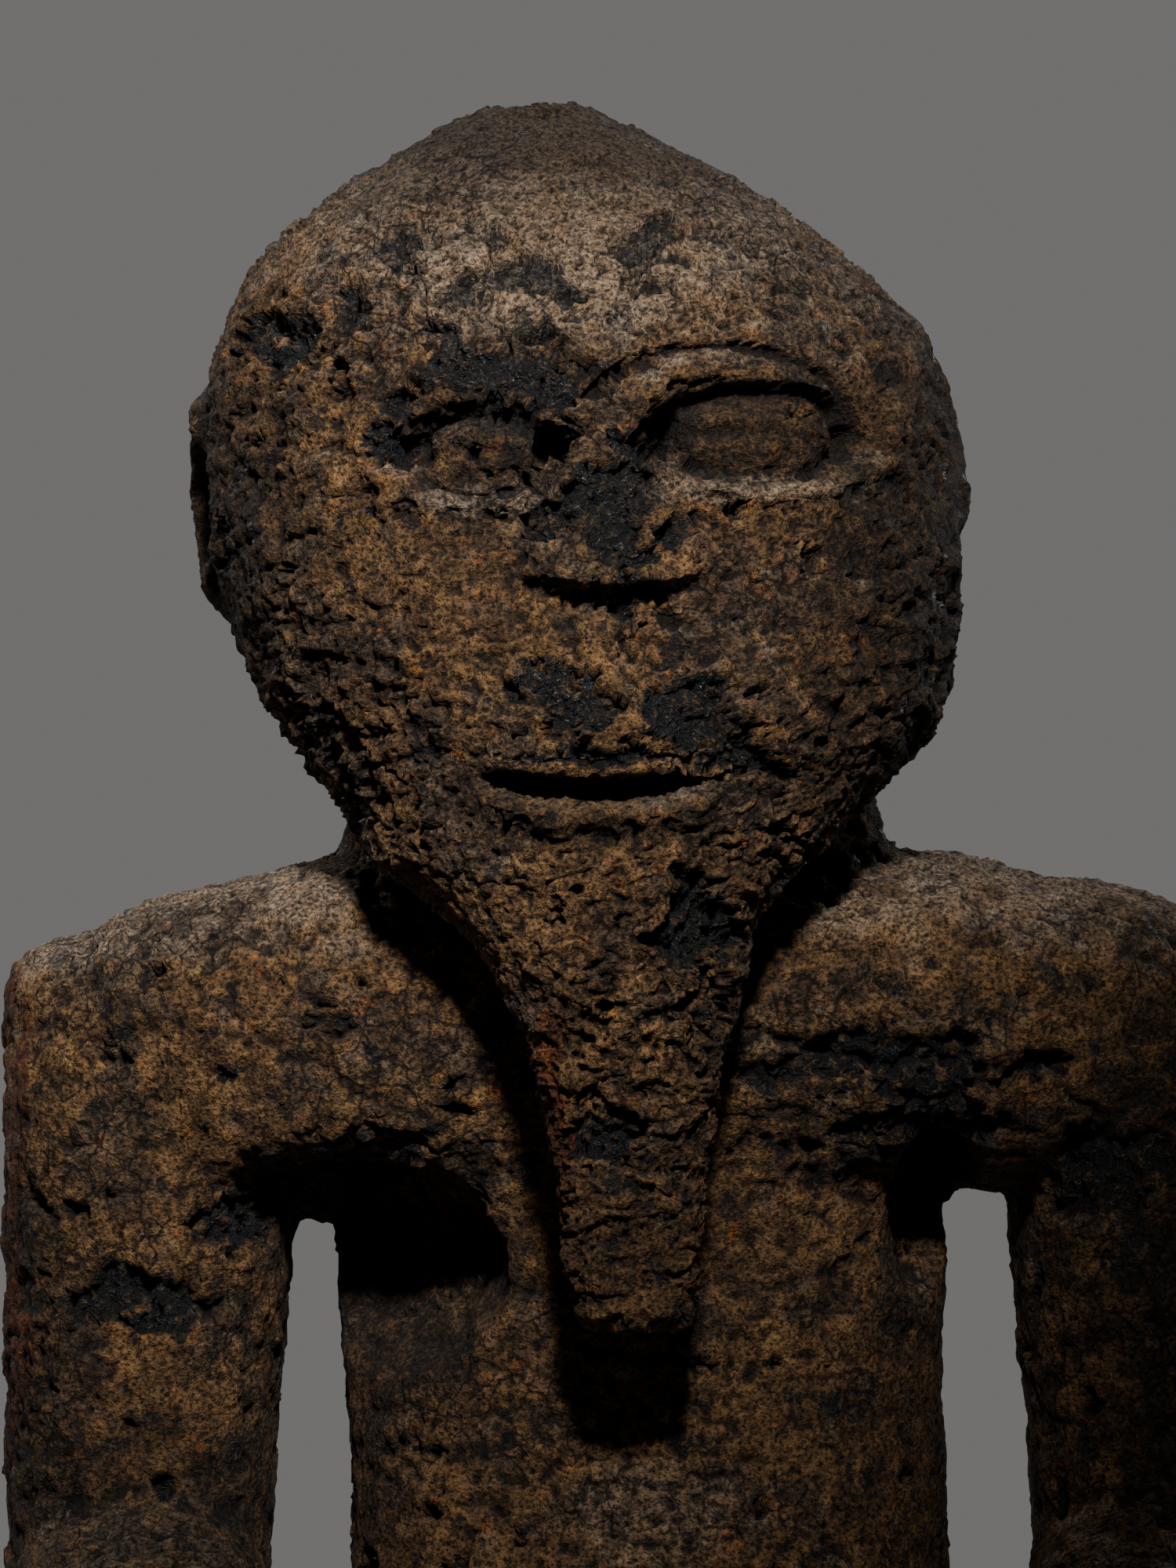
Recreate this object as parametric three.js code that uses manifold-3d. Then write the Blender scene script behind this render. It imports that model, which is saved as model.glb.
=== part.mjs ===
// A crusted wooden power figure, carved in one from a single block with its low base.
// Millimetres, +Z up, the face looks along -Y, and +X is the onlooker's right.
import * as THREE from 'three';
import { LoftGeometry } from 'three/addons/geometries/LoftGeometry.js';
import { mergeVertices } from 'three/addons/utils/BufferGeometryUtils.js';
import Module from 'manifold-3d';

const wasm = await Module();
wasm.setup();
const lerp = THREE.MathUtils.lerp;

// Driving dimensions of the head and its long beard
const HEIGHT = 600;
const BEARD_TIP = 342;
const BEARD_FRONT = -86;
const EYE_DEPTH = 8;
const LEFT_EYE = { x: -35, z: 525, socket: [18.5, 10], mound: [11.6, 6.2], drop: 1.2 };
const RIGHT_EYE = { x: 22.3, z: 528.3, socket: [24.5, 10.2], mound: [17.3, 7.9], drop: 1.4 };
const BROW = { x: 15, z: 527, width: 23, height: 14.5, radius: 3, rise: 1, from: 168, to: 8 };
const NOSE = { top: 541, bottom: 495, topX: -9, bottomX: -7, bridge: 8, wings: 17.5, spread: 1.4 };
const NOSE_RISE = 7.5;
const NOSE_ROOT = 14;
const MOUTH = { x: -10.7, z: 455, width: 48, height: 5.2, depth: 11, lift: 1.3 };
const UPPER_LIP = { drop: 10, half: [36, 8, 8] };
const LOWER_LIP = { drop: -6, half: [29, 6, 4.6] };
const LEFT_EAR = { side: -1, y: -6, z: 514, height: 20, width: 11, radius: 4, sink: 0.6 };
const RIGHT_EAR = { side: 1, y: -4, z: 533, height: 20, width: 13, radius: 4.2, sink: 1.4 };
const EAR_ARC = 130;

// Driving dimensions of the body
const ARM_REACH = 140.6;
const ARM_FRONT = -37;
const ARM_BACK = 35;
const ELBOW = 250;
const ELBOW_ROUND = 24;
const SHOULDER_ROUND = 13;
const SHOULDER_DEPTH_ROUND = 38;
const LEFT_ARM = { side: -1, top: 422, innerLow: 84, innerHigh: 72.5 };
const RIGHT_ARM = { side: 1, top: 426, innerLow: 87, innerHigh: 74 };
const LEFT_ARMPIT = [-66, -45, 350, [36, 50, 26]];
const RIGHT_ARMPIT = [62, -45, 360, [11.5, 44, 22]];
const FINGER = { count: 4, pitch: 7.6, length: 30, radius: 4.6, start: 0.3, drop: 4, rise: 1 };
const BASE_HEIGHT = 30;
const BASE_WIDTH = 176;
const BASE_DEPTH = 152;
const BASE_MIDDLE_Y = -10;
const BASE_EDGE = 7;

// Sides of one section, and sections in one loft, for each size of form
const HEAD_SIDES = 32;
const HEAD_STEPS = 22;
const TRUNK_SIDES = 24;
const TRUNK_STEPS = 13;
const LIMB_SIDES = 14;
const LIMB_STEPS = 8;
const SMALL_SIDES = 7;
const SMALL_STEPS = 4;
const END_CROWDING = 0.4;
const ARM_CROWDING = 0.8;
const END_ROUNDING = 0.45;
const END_PUSH = 0.22;
const LEAST_SHARE = 0.3;
const BAR_END = 0.5;
const SOCKET_REACH = 1.5;
const MERGE_DISTANCE = 1e-4;

// How square the corners of a section are: 2 is an ellipse
const ROUND = 2.2;
const FULL = 2.6;
const BLOCKY = 3;

// Level sections of the head, the jaw and the beard, from the tip to the crown:
// height, left edge, right edge, front, back, squareness
const HEAD = [
  [BEARD_TIP, -13.5, 7.5, BEARD_FRONT + 6, -67, 3.4],
  [BEARD_TIP + 3, -15.5, 9.6, BEARD_FRONT + 3, -64, 3.6],
  [376, -20.5, 13, BEARD_FRONT + 2, -61, 3.8],
  [410, -29.5, 19, BEARD_FRONT, -50, 3.6],
  [426, -42, 24, BEARD_FRONT - 1, -32, BLOCKY],
  [440, -59, 36, BEARD_FRONT - 2, 0, 2.8],
  [452, -67.5, 49, BEARD_FRONT - 1, 36, FULL],
  [473, -84, 65, -85, 58, 2.4],
  [507, -95.5, 68.3, -80, 70, 2.3],
  [521, -96.6, 68.6, -78, 71, ROUND],
  [540, -95.3, 65, -74, 69, ROUND],
  [560, -88.4, 51.3, -65, 61, ROUND],
  [568, -82.8, 42.6, -59, 56, ROUND],
  [577, -73, 30.8, -50, 48, 2.1],
  [590, -54, 9.5, -33, 30, 2],
  [596, -43, -3.5, -22, 17, 2],
  [HEIGHT, -35, -12, -14, 7, 2],
];

// Level sections of the hips, belly, chest and neck, written as the head's are
const TRUNK = [
  [164, -44, 44, -32, 36, FULL],
  [176, -59, 59, -45, 48, FULL],
  [204, -63, 63, -57, 57, FULL],
  [246, -65, 66, -71, 44, FULL],
  [284, -64.5, 66, -59, 40, 2.4],
  [322, -66.3, 65.3, -48, 41, ROUND],
  [350, -69.5, 66, -45, 42, ROUND],
  [385, -70, 66, -47, 44, ROUND],
  [420, -68, 58, -47, 46, FULL],
  [444, -66, 52, -44, 45, FULL],
  [470, -54, 40, -30, 36, ROUND],
];

// Upright sections of the shoulders, side by side: place across, bottom, top, front, back
const SHOULDERS = [
  [-128, 382, 415, -26, 24],
  [-108, 366, 427.5, -39, 36],
  [-86, 358, 433, -45, 41],
  [-68, 356, 437, -49, 45],
  [0, 362, 439, -52, 47],
  [68, 364, 437, -49, 45],
  [88, 366, 432.5, -45, 41],
  [108, 376, 429.5, -39, 36],
  [128, 390, 420, -26, 24],
];

// Limbs along a path, on the right side: middle across, along and up, half width, half height
const FOREARM = [
  [111, 8, 281, 24, 20],
  [110, -18, 280, 28, 24],
  [104, -46, 274, 25, 22],
  [87, -70, 263, 20, 17],
  [64, -83, 255, 13, 11],
];
const PALM = [
  [70, -80, 257, 13, 11],
  [53, -82, 253, 17, 9],
  [40, -78, 250, 17, 7],
];
const LEG = [
  [30, 8, 198, 29, 36],
  [34, -2, 168, 30, 34],
  [38, -20, 128, 26, 28],
  [39, -22, 104, 25, 26],
  [38, 2, 78, 24, 27],
  [37, 10, 52, 20, 23],
  [37, 6, 27, 21, 25],
];
const FOOT = [
  [37, 33, 38, 15, 11],
  [38, 16, 41, 21, 14],
  [40, -28, 38, 24, 11],
  [41, -56, 35, 21, 7],
];

// A row between rows, by a smooth curve that never swings past them
function rowAt(rows, place) {
  const last = rows.length - 1;
  let low = 0;
  while (low < last - 1 && rows[low + 1][0] < place) low += 1;
  const span = rows[low + 1][0] - rows[low][0];
  const t = (place - rows[low][0]) / span;
  return rows[low].map((start, column) => {
    const end = rows[low + 1][column];
    const leave = slopeAt(rows, low, column) * span;
    const arrive = slopeAt(rows, low + 1, column) * span;
    const eased = t * t * (3 - 2 * t);
    return lerp(start, end, eased) + t * (1 - t) * ((1 - t) * leave - t * arrive);
  });
}

// The slope of one column at a row: the harmonic mean of the slopes on both sides
function slopeAt(rows, row, column) {
  const rise = (i) => (rows[i + 1][column] - rows[i][column]) / (rows[i + 1][0] - rows[i][0]);
  if (row === 0) return rise(0);
  if (row === rows.length - 1) return rise(row - 1);
  const before = rise(row - 1);
  const after = rise(row);
  return before * after > 0 ? 2 * before * after / (before + after) : 0;
}

// Places for sections from first to last, closer together near both ends
function places(first, last, steps, crowding = END_CROWDING) {
  return Array.from({ length: steps + 1 }, (_, i) => {
    const even = i / steps;
    const eased = 0.5 - 0.5 * Math.cos(Math.PI * even);
    return lerp(first, last, lerp(even, eased, crowding));
  });
}

// One rounded-square outline as offsets from its middle
function outline(halfA, halfB, squareness, sides) {
  const bend = (value) => Math.sign(value) * Math.abs(value) ** (2 / squareness);
  return Array.from({ length: sides }, (_, i) => {
    const angle = 2 * Math.PI * i / sides;
    return [halfA * bend(Math.cos(angle)), halfB * bend(Math.sin(angle))];
  });
}

// Where the front of a level section lies at a place across it
function frontAt(rows, x, height) {
  const [, left, right, front, back, squareness] = rowAt(rows, height);
  const across = Math.min(1, Math.abs(2 * x - left - right) / (right - left));
  const share = (1 - across ** squareness) ** (1 / squareness);
  return (front + back) / 2 - (back - front) / 2 * share;
}

// Where a side of a level section lies at a place along it
function sideAt(rows, side, y, height) {
  const [, left, right, front, back, squareness] = rowAt(rows, height);
  const along = Math.min(1, Math.abs(2 * y - front - back) / (back - front));
  const share = (1 - along ** squareness) ** (1 / squareness);
  return (left + right) / 2 + side * (right - left) / 2 * share;
}

// A closed surface becomes a solid once its seams and cap corners are merged
function solidOf(geometry) {
  const bare = new THREE.BufferGeometry();
  bare.setAttribute('position', geometry.getAttribute('position'));
  bare.setIndex(geometry.index);
  const merged = mergeVertices(bare, MERGE_DISTANCE);
  return new wasm.Manifold(new wasm.Mesh({
    numProp: 3,
    vertProperties: new Float32Array(merged.attributes.position.array),
    triVerts: new Uint32Array(merged.index.array),
  }));
}

function loftOf(sections) {
  return solidOf(new LoftGeometry(sections, { capStart: true, capEnd: true }));
}

// Sections lie level, one above the other
function levelLoft(rows, sides, steps) {
  return loftOf(places(rows[0][0], rows.at(-1)[0], steps).map((height) => {
    const [z, left, right, front, back, squareness] = rowAt(rows, height);
    const ring = outline((right - left) / 2, (back - front) / 2, squareness, sides);
    return ring.map(([x, y]) => new THREE.Vector3((left + right) / 2 + x, (front + back) / 2 + y, z));
  }));
}

// Sections stand upright, side by side across the body
function crossLoft(rows, squareness, sides, steps) {
  return loftOf(places(rows[0][0], rows.at(-1)[0], steps).map((place) => {
    const [x, bottom, top, front, back] = rowAt(rows, place);
    const ring = outline((back - front) / 2, (top - bottom) / 2, squareness, sides);
    return ring.map(([y, z]) => new THREE.Vector3(x, (front + back) / 2 + y, (top + bottom) / 2 + z));
  }));
}

// Sections square to a path, their first direction kept level, with rounded ends
function pathLoft(rows, squareness, sides, steps) {
  const path = new THREE.CatmullRomCurve3(rows.map(([x, y, z]) => new THREE.Vector3(x, y, z)));
  const sizes = rows.map(([, , , wide, high], i) => [i / (rows.length - 1), wide, high]);
  const sections = Array.from({ length: steps + 1 }, (_, i) => {
    const [t, wide, high] = rowAt(sizes, i / steps);
    const along = path.getTangent(t);
    const level = new THREE.Vector3(1, 0, 0).addScaledVector(along, -along.x).normalize();
    const upright = new THREE.Vector3().crossVectors(along, level);
    return outline(wide, high, squareness, sides).map(([a, b]) => path.getPoint(t)
      .addScaledVector(level, a)
      .addScaledVector(upright, b));
  });
  const first = drawnIn(sections[0], path.getTangent(0).negate());
  const last = drawnIn(sections[steps], path.getTangent(1));
  return loftOf([first, ...sections, last]);
}

// An end section drawn in towards its middle and pushed out, so the end has no sharp rim
function drawnIn(section, outwards) {
  const middle = new THREE.Vector3();
  section.forEach((point) => middle.addScaledVector(point, 1 / section.length));
  const push = middle.distanceTo(section[0]) * END_PUSH;
  return section.map((point) => point.clone().lerp(middle, END_ROUNDING).addScaledVector(outwards, push));
}

// A round bar along a curve through points, thinner towards both ends
function bar(points, radius, sides, steps) {
  const path = new THREE.CatmullRomCurve3(points.map((point) => new THREE.Vector3(...point)));
  const frames = path.computeFrenetFrames(steps, false);
  return loftOf(frames.normals.map((normal, i) => {
    const taper = radius * lerp(BAR_END, 1, Math.sin(Math.PI * i / steps));
    return outline(taper, taper, 2, sides).map(([a, b]) => path.getPointAt(i / steps)
      .addScaledVector(normal, a)
      .addScaledVector(frames.binormals[i], b));
  }));
}

function ball(x, y, z, half) {
  const geometry = new THREE.SphereGeometry(1, 2 * SMALL_SIDES, 2 * SMALL_STEPS + 1);
  geometry.scale(...half);
  geometry.translate(x, y, z);
  return solidOf(geometry);
}

function mirrored(rows, side) {
  return rows.map(([x, ...rest]) => [side * x, ...rest]);
}

// The head with its beard, and everything that is carved on the face and at the sides
function head() {
  return levelLoft(HEAD, HEAD_SIDES, HEAD_STEPS)
    .add(lip(UPPER_LIP))
    .add(lip(LOWER_LIP))
    .add(nose())
    .subtract(socket(LEFT_EYE))
    .subtract(socket(RIGHT_EYE))
    .add(mound(LEFT_EYE))
    .add(mound(RIGHT_EYE))
    .add(brow())
    .add(ear(LEFT_EAR))
    .add(ear(RIGHT_EAR))
    .subtract(mouth());
}

// The hollow that an eye lies in
function socket({ x, z, socket: [wide, high] }) {
  return ball(x, frontAt(HEAD, x, z) - EYE_DEPTH / 2, z, [wide, EYE_DEPTH * SOCKET_REACH, high]);
}

// The closed almond of an eye, level with the face around its hollow
function mound({ x, z, drop, mound: [wide, high] }) {
  return ball(x, frontAt(HEAD, x, z) + EYE_DEPTH, z - drop, [wide, EYE_DEPTH, high]);
}

// The arched ridge over the right eye
function brow() {
  const points = Array.from({ length: 2 * SMALL_STEPS + 1 }, (_, i) => {
    const angle = THREE.MathUtils.degToRad(lerp(BROW.from, BROW.to, i / (2 * SMALL_STEPS)));
    const x = BROW.x + BROW.width * Math.cos(angle);
    const z = BROW.z + BROW.height * Math.sin(angle);
    return [x, frontAt(HEAD, x, z) + BROW.rise, z];
  });
  return bar(points, BROW.radius, SMALL_SIDES, 2 * SMALL_STEPS);
}

// A low wedge that widens downwards and ends in an overhanging underside
function nose() {
  const steps = SMALL_STEPS + 1;
  return loftOf(Array.from({ length: steps + 1 }, (_, i) => {
    const t = 1 - i / steps;
    const z = lerp(NOSE.top, NOSE.bottom, t);
    const x = lerp(NOSE.topX, NOSE.bottomX, t);
    const face = frontAt(HEAD, x, z);
    const front = face - NOSE_RISE * t;
    const back = face + NOSE_ROOT;
    const half = lerp(NOSE.bridge, NOSE.wings, t ** NOSE.spread);
    const ring = outline(half, (back - front) / 2, ROUND, 2 * SMALL_SIDES);
    return ring.map(([a, b]) => new THREE.Vector3(x + a, (back + front) / 2 + b, z));
  }));
}

function lip({ drop, half }) {
  const z = MOUTH.z + drop;
  return ball(MOUTH.x, frontAt(HEAD, MOUTH.x, z) + half[1] / 3, z, half);
}

// A slit with slightly raised corners, cut straight in
function mouth() {
  const half = MOUTH.width / 2;
  const shape = new THREE.Shape();
  shape.moveTo(-half, MOUTH.lift);
  shape.quadraticCurveTo(0, -MOUTH.height - MOUTH.lift, half, MOUTH.lift);
  shape.quadraticCurveTo(0, MOUTH.height - MOUTH.lift, -half, MOUTH.lift);
  const settings = { depth: 2 * MOUTH.depth, bevelEnabled: false, curveSegments: SMALL_SIDES };
  const geometry = new THREE.ExtrudeGeometry(shape, settings);
  geometry.rotateX(Math.PI / 2);
  geometry.translate(MOUTH.x, frontAt(HEAD, MOUTH.x, MOUTH.z) + MOUTH.depth, MOUTH.z);
  return solidOf(geometry);
}

// A C-shaped ridge that lies on the side of the head, open towards the face
function ear({ side, y, z, height, width, radius, sink }) {
  const steps = 2 * SMALL_STEPS;
  const points = Array.from({ length: steps + 1 }, (_, i) => {
    const angle = THREE.MathUtils.degToRad(lerp(-EAR_ARC, EAR_ARC, i / steps));
    const along = y + width * Math.cos(angle);
    const up = z + height * Math.sin(angle);
    return [sideAt(HEAD, side, along, up) - side * sink, along, up];
  });
  return bar(points, radius, SMALL_SIDES, steps);
}

// Trunk and shoulders, with a deep hollow cut in from the front below each armpit
function trunk() {
  return levelLoft(TRUNK, TRUNK_SIDES, TRUNK_STEPS)
    .add(crossLoft(SHOULDERS, FULL, TRUNK_SIDES, LIMB_STEPS + 3))
    .subtract(ball(...LEFT_ARMPIT))
    .subtract(ball(...RIGHT_ARMPIT));
}

// An upright arm with a round elbow and shoulder, its forearm, and the hand on the belly
function arm({ side, top, innerLow, innerHigh }) {
  const rows = places(ELBOW, top, LIMB_STEPS + 3, ARM_CROWDING).map((height) => {
    const inner = lerp(innerLow, innerHigh, (height - ELBOW) / (top - ELBOW));
    const elbow = roundedBy(height - ELBOW, ELBOW_ROUND);
    const share = (round) => Math.max(LEAST_SHARE, Math.min(elbow, roundedBy(top - height, round)));
    const half = (ARM_REACH - inner) / 2 * share(SHOULDER_ROUND);
    const deep = (ARM_BACK - ARM_FRONT) / 2 * share(SHOULDER_DEPTH_ROUND);
    return outline(half, deep, FULL, LIMB_SIDES + 4).map(([x, y]) => new THREE.Vector3(
      side * (ARM_REACH + inner) / 2 + x,
      (ARM_FRONT + ARM_BACK) / 2 + y,
      height,
    ));
  });
  return loftOf(rows)
    .add(pathLoft(mirrored(FOREARM, side), ROUND, LIMB_SIDES, LIMB_STEPS))
    .add(pathLoft(mirrored(PALM, side), FULL, LIMB_SIDES, SMALL_STEPS))
    .add(fingers(side));
}

// The share of its full width that a round end has at a distance from its tip
function roundedBy(distance, radius) {
  return distance >= radius ? 1 : Math.sqrt(1 - (1 - distance / radius) ** 2);
}

// Fingers side by side, which lie on the belly
function fingers(side) {
  const [x, , z] = PALM.at(-1);
  const lowest = z - FINGER.pitch * (FINGER.count - 1) / 2;
  return Array.from({ length: FINGER.count }, (_, i) => {
    const points = [0, 0.5, 1].map((t) => {
      const across = x + FINGER.length * (FINGER.start - t);
      const up = lowest + FINGER.pitch * i - FINGER.drop * t;
      return [side * across, frontAt(TRUNK, across, up) - FINGER.rise, up];
    });
    return bar(points, FINGER.radius, SMALL_SIDES, SMALL_STEPS);
  }).reduce((all, finger) => all.add(finger));
}

function leg(side) {
  return pathLoft(mirrored(LEG, side), ROUND, LIMB_SIDES + 2, LIMB_STEPS + 2)
    .add(pathLoft(mirrored(FOOT, side), FULL, LIMB_SIDES, LIMB_STEPS - 2));
}

// The low base, a little narrower at its top and bottom edges
function base() {
  const edge = BASE_EDGE;
  const heights = [0, edge, BASE_HEIGHT - edge, BASE_HEIGHT - edge / 2, BASE_HEIGHT];
  return loftOf(heights.map((height) => {
    const near = Math.min(height, BASE_HEIGHT - height);
    const inset = edge * (1 - roundedBy(near, edge)) / 2;
    const ring = outline(BASE_WIDTH / 2 - inset, BASE_DEPTH / 2 - inset, ROUND, TRUNK_SIDES);
    return ring.map(([x, y]) => new THREE.Vector3(x, BASE_MIDDLE_Y + y, height));
  }));
}

// The whole carving as one solid, with the middle of its outer box over the origin
function figure() {
  const solid = trunk()
    .add(head())
    .add(arm(LEFT_ARM))
    .add(arm(RIGHT_ARM))
    .add(leg(-1))
    .add(leg(1))
    .add(base());
  const { vertProperties, triVerts } = solid.getMesh();
  const geometry = new THREE.BufferGeometry();
  geometry.setAttribute('position', new THREE.BufferAttribute(vertProperties, 3));
  geometry.setIndex(new THREE.BufferAttribute(triVerts, 1));
  geometry.computeBoundingBox();
  const middle = geometry.boundingBox.getCenter(new THREE.Vector3());
  geometry.translate(-middle.x, -middle.y, 0);
  geometry.computeVertexNormals();
  return geometry;
}

const CRUST_BROWN = 0x4a3524;
const crust = new THREE.MeshStandardMaterial({ color: CRUST_BROWN, roughness: 0.85, metalness: 0 });
const mesh = new THREE.Mesh(figure(), crust);
mesh.name = 'figure';
const group = new THREE.Group();
group.add(mesh);

export default group;
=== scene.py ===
"""A carved wooden power figure under a thick, cracked crust of earth, in metres, +Z up."""

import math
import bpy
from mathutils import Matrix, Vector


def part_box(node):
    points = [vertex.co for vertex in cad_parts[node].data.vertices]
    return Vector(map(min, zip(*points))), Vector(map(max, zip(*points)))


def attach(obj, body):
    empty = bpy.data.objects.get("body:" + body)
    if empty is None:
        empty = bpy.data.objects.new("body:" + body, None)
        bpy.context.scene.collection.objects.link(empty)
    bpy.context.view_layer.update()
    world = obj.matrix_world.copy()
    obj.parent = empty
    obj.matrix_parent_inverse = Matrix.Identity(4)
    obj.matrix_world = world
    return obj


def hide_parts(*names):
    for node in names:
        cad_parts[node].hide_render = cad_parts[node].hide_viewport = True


bl_info = {
    "name": "Crusted power figure",
    "version": (1, 0, 0),
    "blender": (4, 5, 0),
    "location": "3D View > Sidebar > Figure",
    "description": "Builds a carved wooden figure with a long beard, under a crust of earth",
    "category": "Object",
}

import bpy
import numpy as np
from mathutils import Vector

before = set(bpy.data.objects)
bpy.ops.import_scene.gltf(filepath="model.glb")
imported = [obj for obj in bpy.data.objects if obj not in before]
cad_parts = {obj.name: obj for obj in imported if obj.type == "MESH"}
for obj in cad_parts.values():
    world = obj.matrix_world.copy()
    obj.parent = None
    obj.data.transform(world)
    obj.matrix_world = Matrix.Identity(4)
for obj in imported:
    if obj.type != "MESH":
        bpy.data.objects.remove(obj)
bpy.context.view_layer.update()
MM = 0.001
BODY = "root"
NODE = "figure"
CRUST = "earth_crust_over_tarred_wood"

# How square the corners of a section are: 2 is an ellipse
ROUND = 2.2
FULL = 2.6
BLOCKY = 3.0

# The carving, in millimetres from the middle of its back to front line.
# Level sections of head, jaw and beard, from the tip to the crown:
# height, left edge, right edge, front, back, squareness
HEIGHT = 600.0
HEAD_BACK = 71.0
BEARD_TIP = 342.0
HEAD = [
    [BEARD_TIP, -13.5, 7.5, -80, -67, 3.4],
    [345, -15.5, 9.6, -83, -64, 3.6],
    [376, -20.5, 13, -84, -61, 3.8],
    [410, -29.5, 19, -86, -50, 3.6],
    [426, -42, 24, -87, -32, BLOCKY],
    [440, -59, 36, -88, 0, 2.8],
    [452, -67.5, 49, -87, 36, FULL],
    [473, -84, 65, -85, 58, 2.4],
    [507, -95.5, 68.3, -80, 70, 2.3],
    [521, -96.6, 68.6, -78, HEAD_BACK, ROUND],
    [540, -95.3, 65, -74, 69, ROUND],
    [560, -88.4, 51.3, -65, 61, ROUND],
    [568, -82.8, 42.6, -59, 56, ROUND],
    [577, -73, 30.8, -50, 48, 2.1],
    [590, -54, 9.5, -33, 30, 2],
    [596, -43, -3.5, -22, 17, 2],
    [HEIGHT, -35, -12, -14, 7, 2],
]

# Hips, belly, chest and neck, written as the head's are
TRUNK = [
    [164, -44, 44, -32, 36, FULL],
    [176, -59, 59, -45, 48, FULL],
    [204, -63, 63, -57, 57, FULL],
    [246, -65, 66, -71, 44, FULL],
    [284, -64.5, 66, -59, 40, 2.4],
    [322, -66.3, 65.3, -48, 41, ROUND],
    [350, -69.5, 66, -45, 42, ROUND],
    [385, -70, 66, -47, 44, ROUND],
    [420, -68, 58, -47, 46, FULL],
    [444, -66, 52, -44, 45, FULL],
    [470, -54, 40, -30, 36, ROUND],
]

# Upright sections of the shoulders, side by side: place across, bottom, top, front, back
SHOULDERS = [
    [-128, 382, 415, -26, 24],
    [-108, 366, 427.5, -39, 36],
    [-86, 358, 433, -45, 41],
    [-68, 356, 437, -49, 45],
    [0, 362, 439, -52, 47],
    [68, 364, 437, -49, 45],
    [88, 366, 432.5, -45, 41],
    [108, 376, 429.5, -39, 36],
    [128, 390, 420, -26, 24],
]

# Limbs along a path, on the right side: middle across, along and up, half width, half height
FOREARM = [
    [111, 8, 281, 24, 20],
    [110, -18, 280, 28, 24],
    [104, -46, 274, 25, 22],
    [87, -70, 263, 20, 17],
    [64, -83, 255, 13, 11],
]
PALM = [
    [70, -80, 257, 13, 11],
    [53, -82, 253, 17, 9],
    [40, -78, 250, 17, 7],
]
LEG = [
    [30, 8, 198, 29, 36],
    [34, -2, 168, 30, 34],
    [38, -20, 128, 26, 28],
    [39, -22, 104, 25, 26],
    [38, 2, 78, 24, 27],
    [37, 10, 52, 20, 23],
    [37, 6, 27, 21, 25],
]
FOOT = [
    [37, 33, 38, 15, 11],
    [38, 16, 41, 21, 14],
    [40, -28, 38, 24, 11],
    [41, -56, 35, 21, 7],
]

# Upper arms: outer reach, front, back, elbow, and for each side its top and inner edges
ARM_REACH = 140.6
ARM_FRONT = -37.0
ARM_BACK = 35.0
ELBOW = 250.0
ELBOW_ROUND = 24.0
SHOULDER_ROUND = 13.0
SHOULDER_DEPTH_ROUND = 38.0
ARMS = {-1: (422.0, 84.0, 72.5), 1: (426.0, 87.0, 74.0)}
# Hollows cut in below the armpits: the middle and the half sizes of an egg
ARMPITS = [((-66, -45, 350), (36, 50, 26)), ((62, -45, 360), (11.5, 44, 22))]
FINGER_COUNT = 4
FINGER_PITCH = 7.6
FINGER_LENGTH = 30.0
FINGER_RADIUS = 4.6
FINGER_DROP = 4.0
BASE_HEIGHT = 30.0
BASE_WIDTH = 176.0
BASE_DEPTH = 152.0
BASE_MIDDLE_Y = -10.0
BASE_EDGE = 7.0

# The face: an eye is its middle, the half sizes of its hollow and of its almond, its depth, and
# the place and height of the fold that runs over the almond
LEFT_EYE = {
    "x": -36.0, "z": 524.4, "hollow": (18.2, 10.2), "almond": (13.6, 7.9), "drop": 1.4,
    "depth": 6.6, "edge": 0.62, "fold": (-34.0, 527.6, 0.9),
}
RIGHT_EYE = {
    "x": 24.0, "z": 527.8, "hollow": (24.5, 10.2), "almond": (18.6, 9.5), "drop": 0.5,
    "depth": 5.8, "edge": 0.78, "fold": (20.6, 532.4, 0.9),
}
# Holes at the corners of the eyes: place across and up, half width, depth
EYE_HOLES = [
    (-20.6, 524.6, 2.9, 9.0), (-49.6, 524.0, 3.0, 3.5), (3.6, 526.7, 4.2, 8.0),
    (46.0, 525.6, 3.4, 6.0),
]
BROW = {
    "x": 15.0, "z": 527.0, "width": 23.0, "height": 14.5, "rise": 2.4, "thick": 3.0,
    "groove": 4.6, "deep": 2.2, "narrow": 0.9, "first": 22, "last": 152,
}
NOSE = {
    "top": 541.0, "bottom": 496.0, "top_x": -9.0, "bottom_x": -7.0, "bridge": 8.0, "wings": 20.5,
    "rise": 7.2,
}
MOUTH = {"x": -10.7, "z": 455.3, "half": 23.6, "height": 3.3, "depth": 11.0, "lift": 1.3}
EARS = {
    -1: {"y": -6.0, "z": 514.0, "height": 20.0, "width": 11.0, "rise": 4.2, "thick": 2.8},
    1: {"y": -4.0, "z": 533.0, "height": 20.0, "width": 13.0, "rise": 2.6, "thick": 3.4},
}

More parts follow.
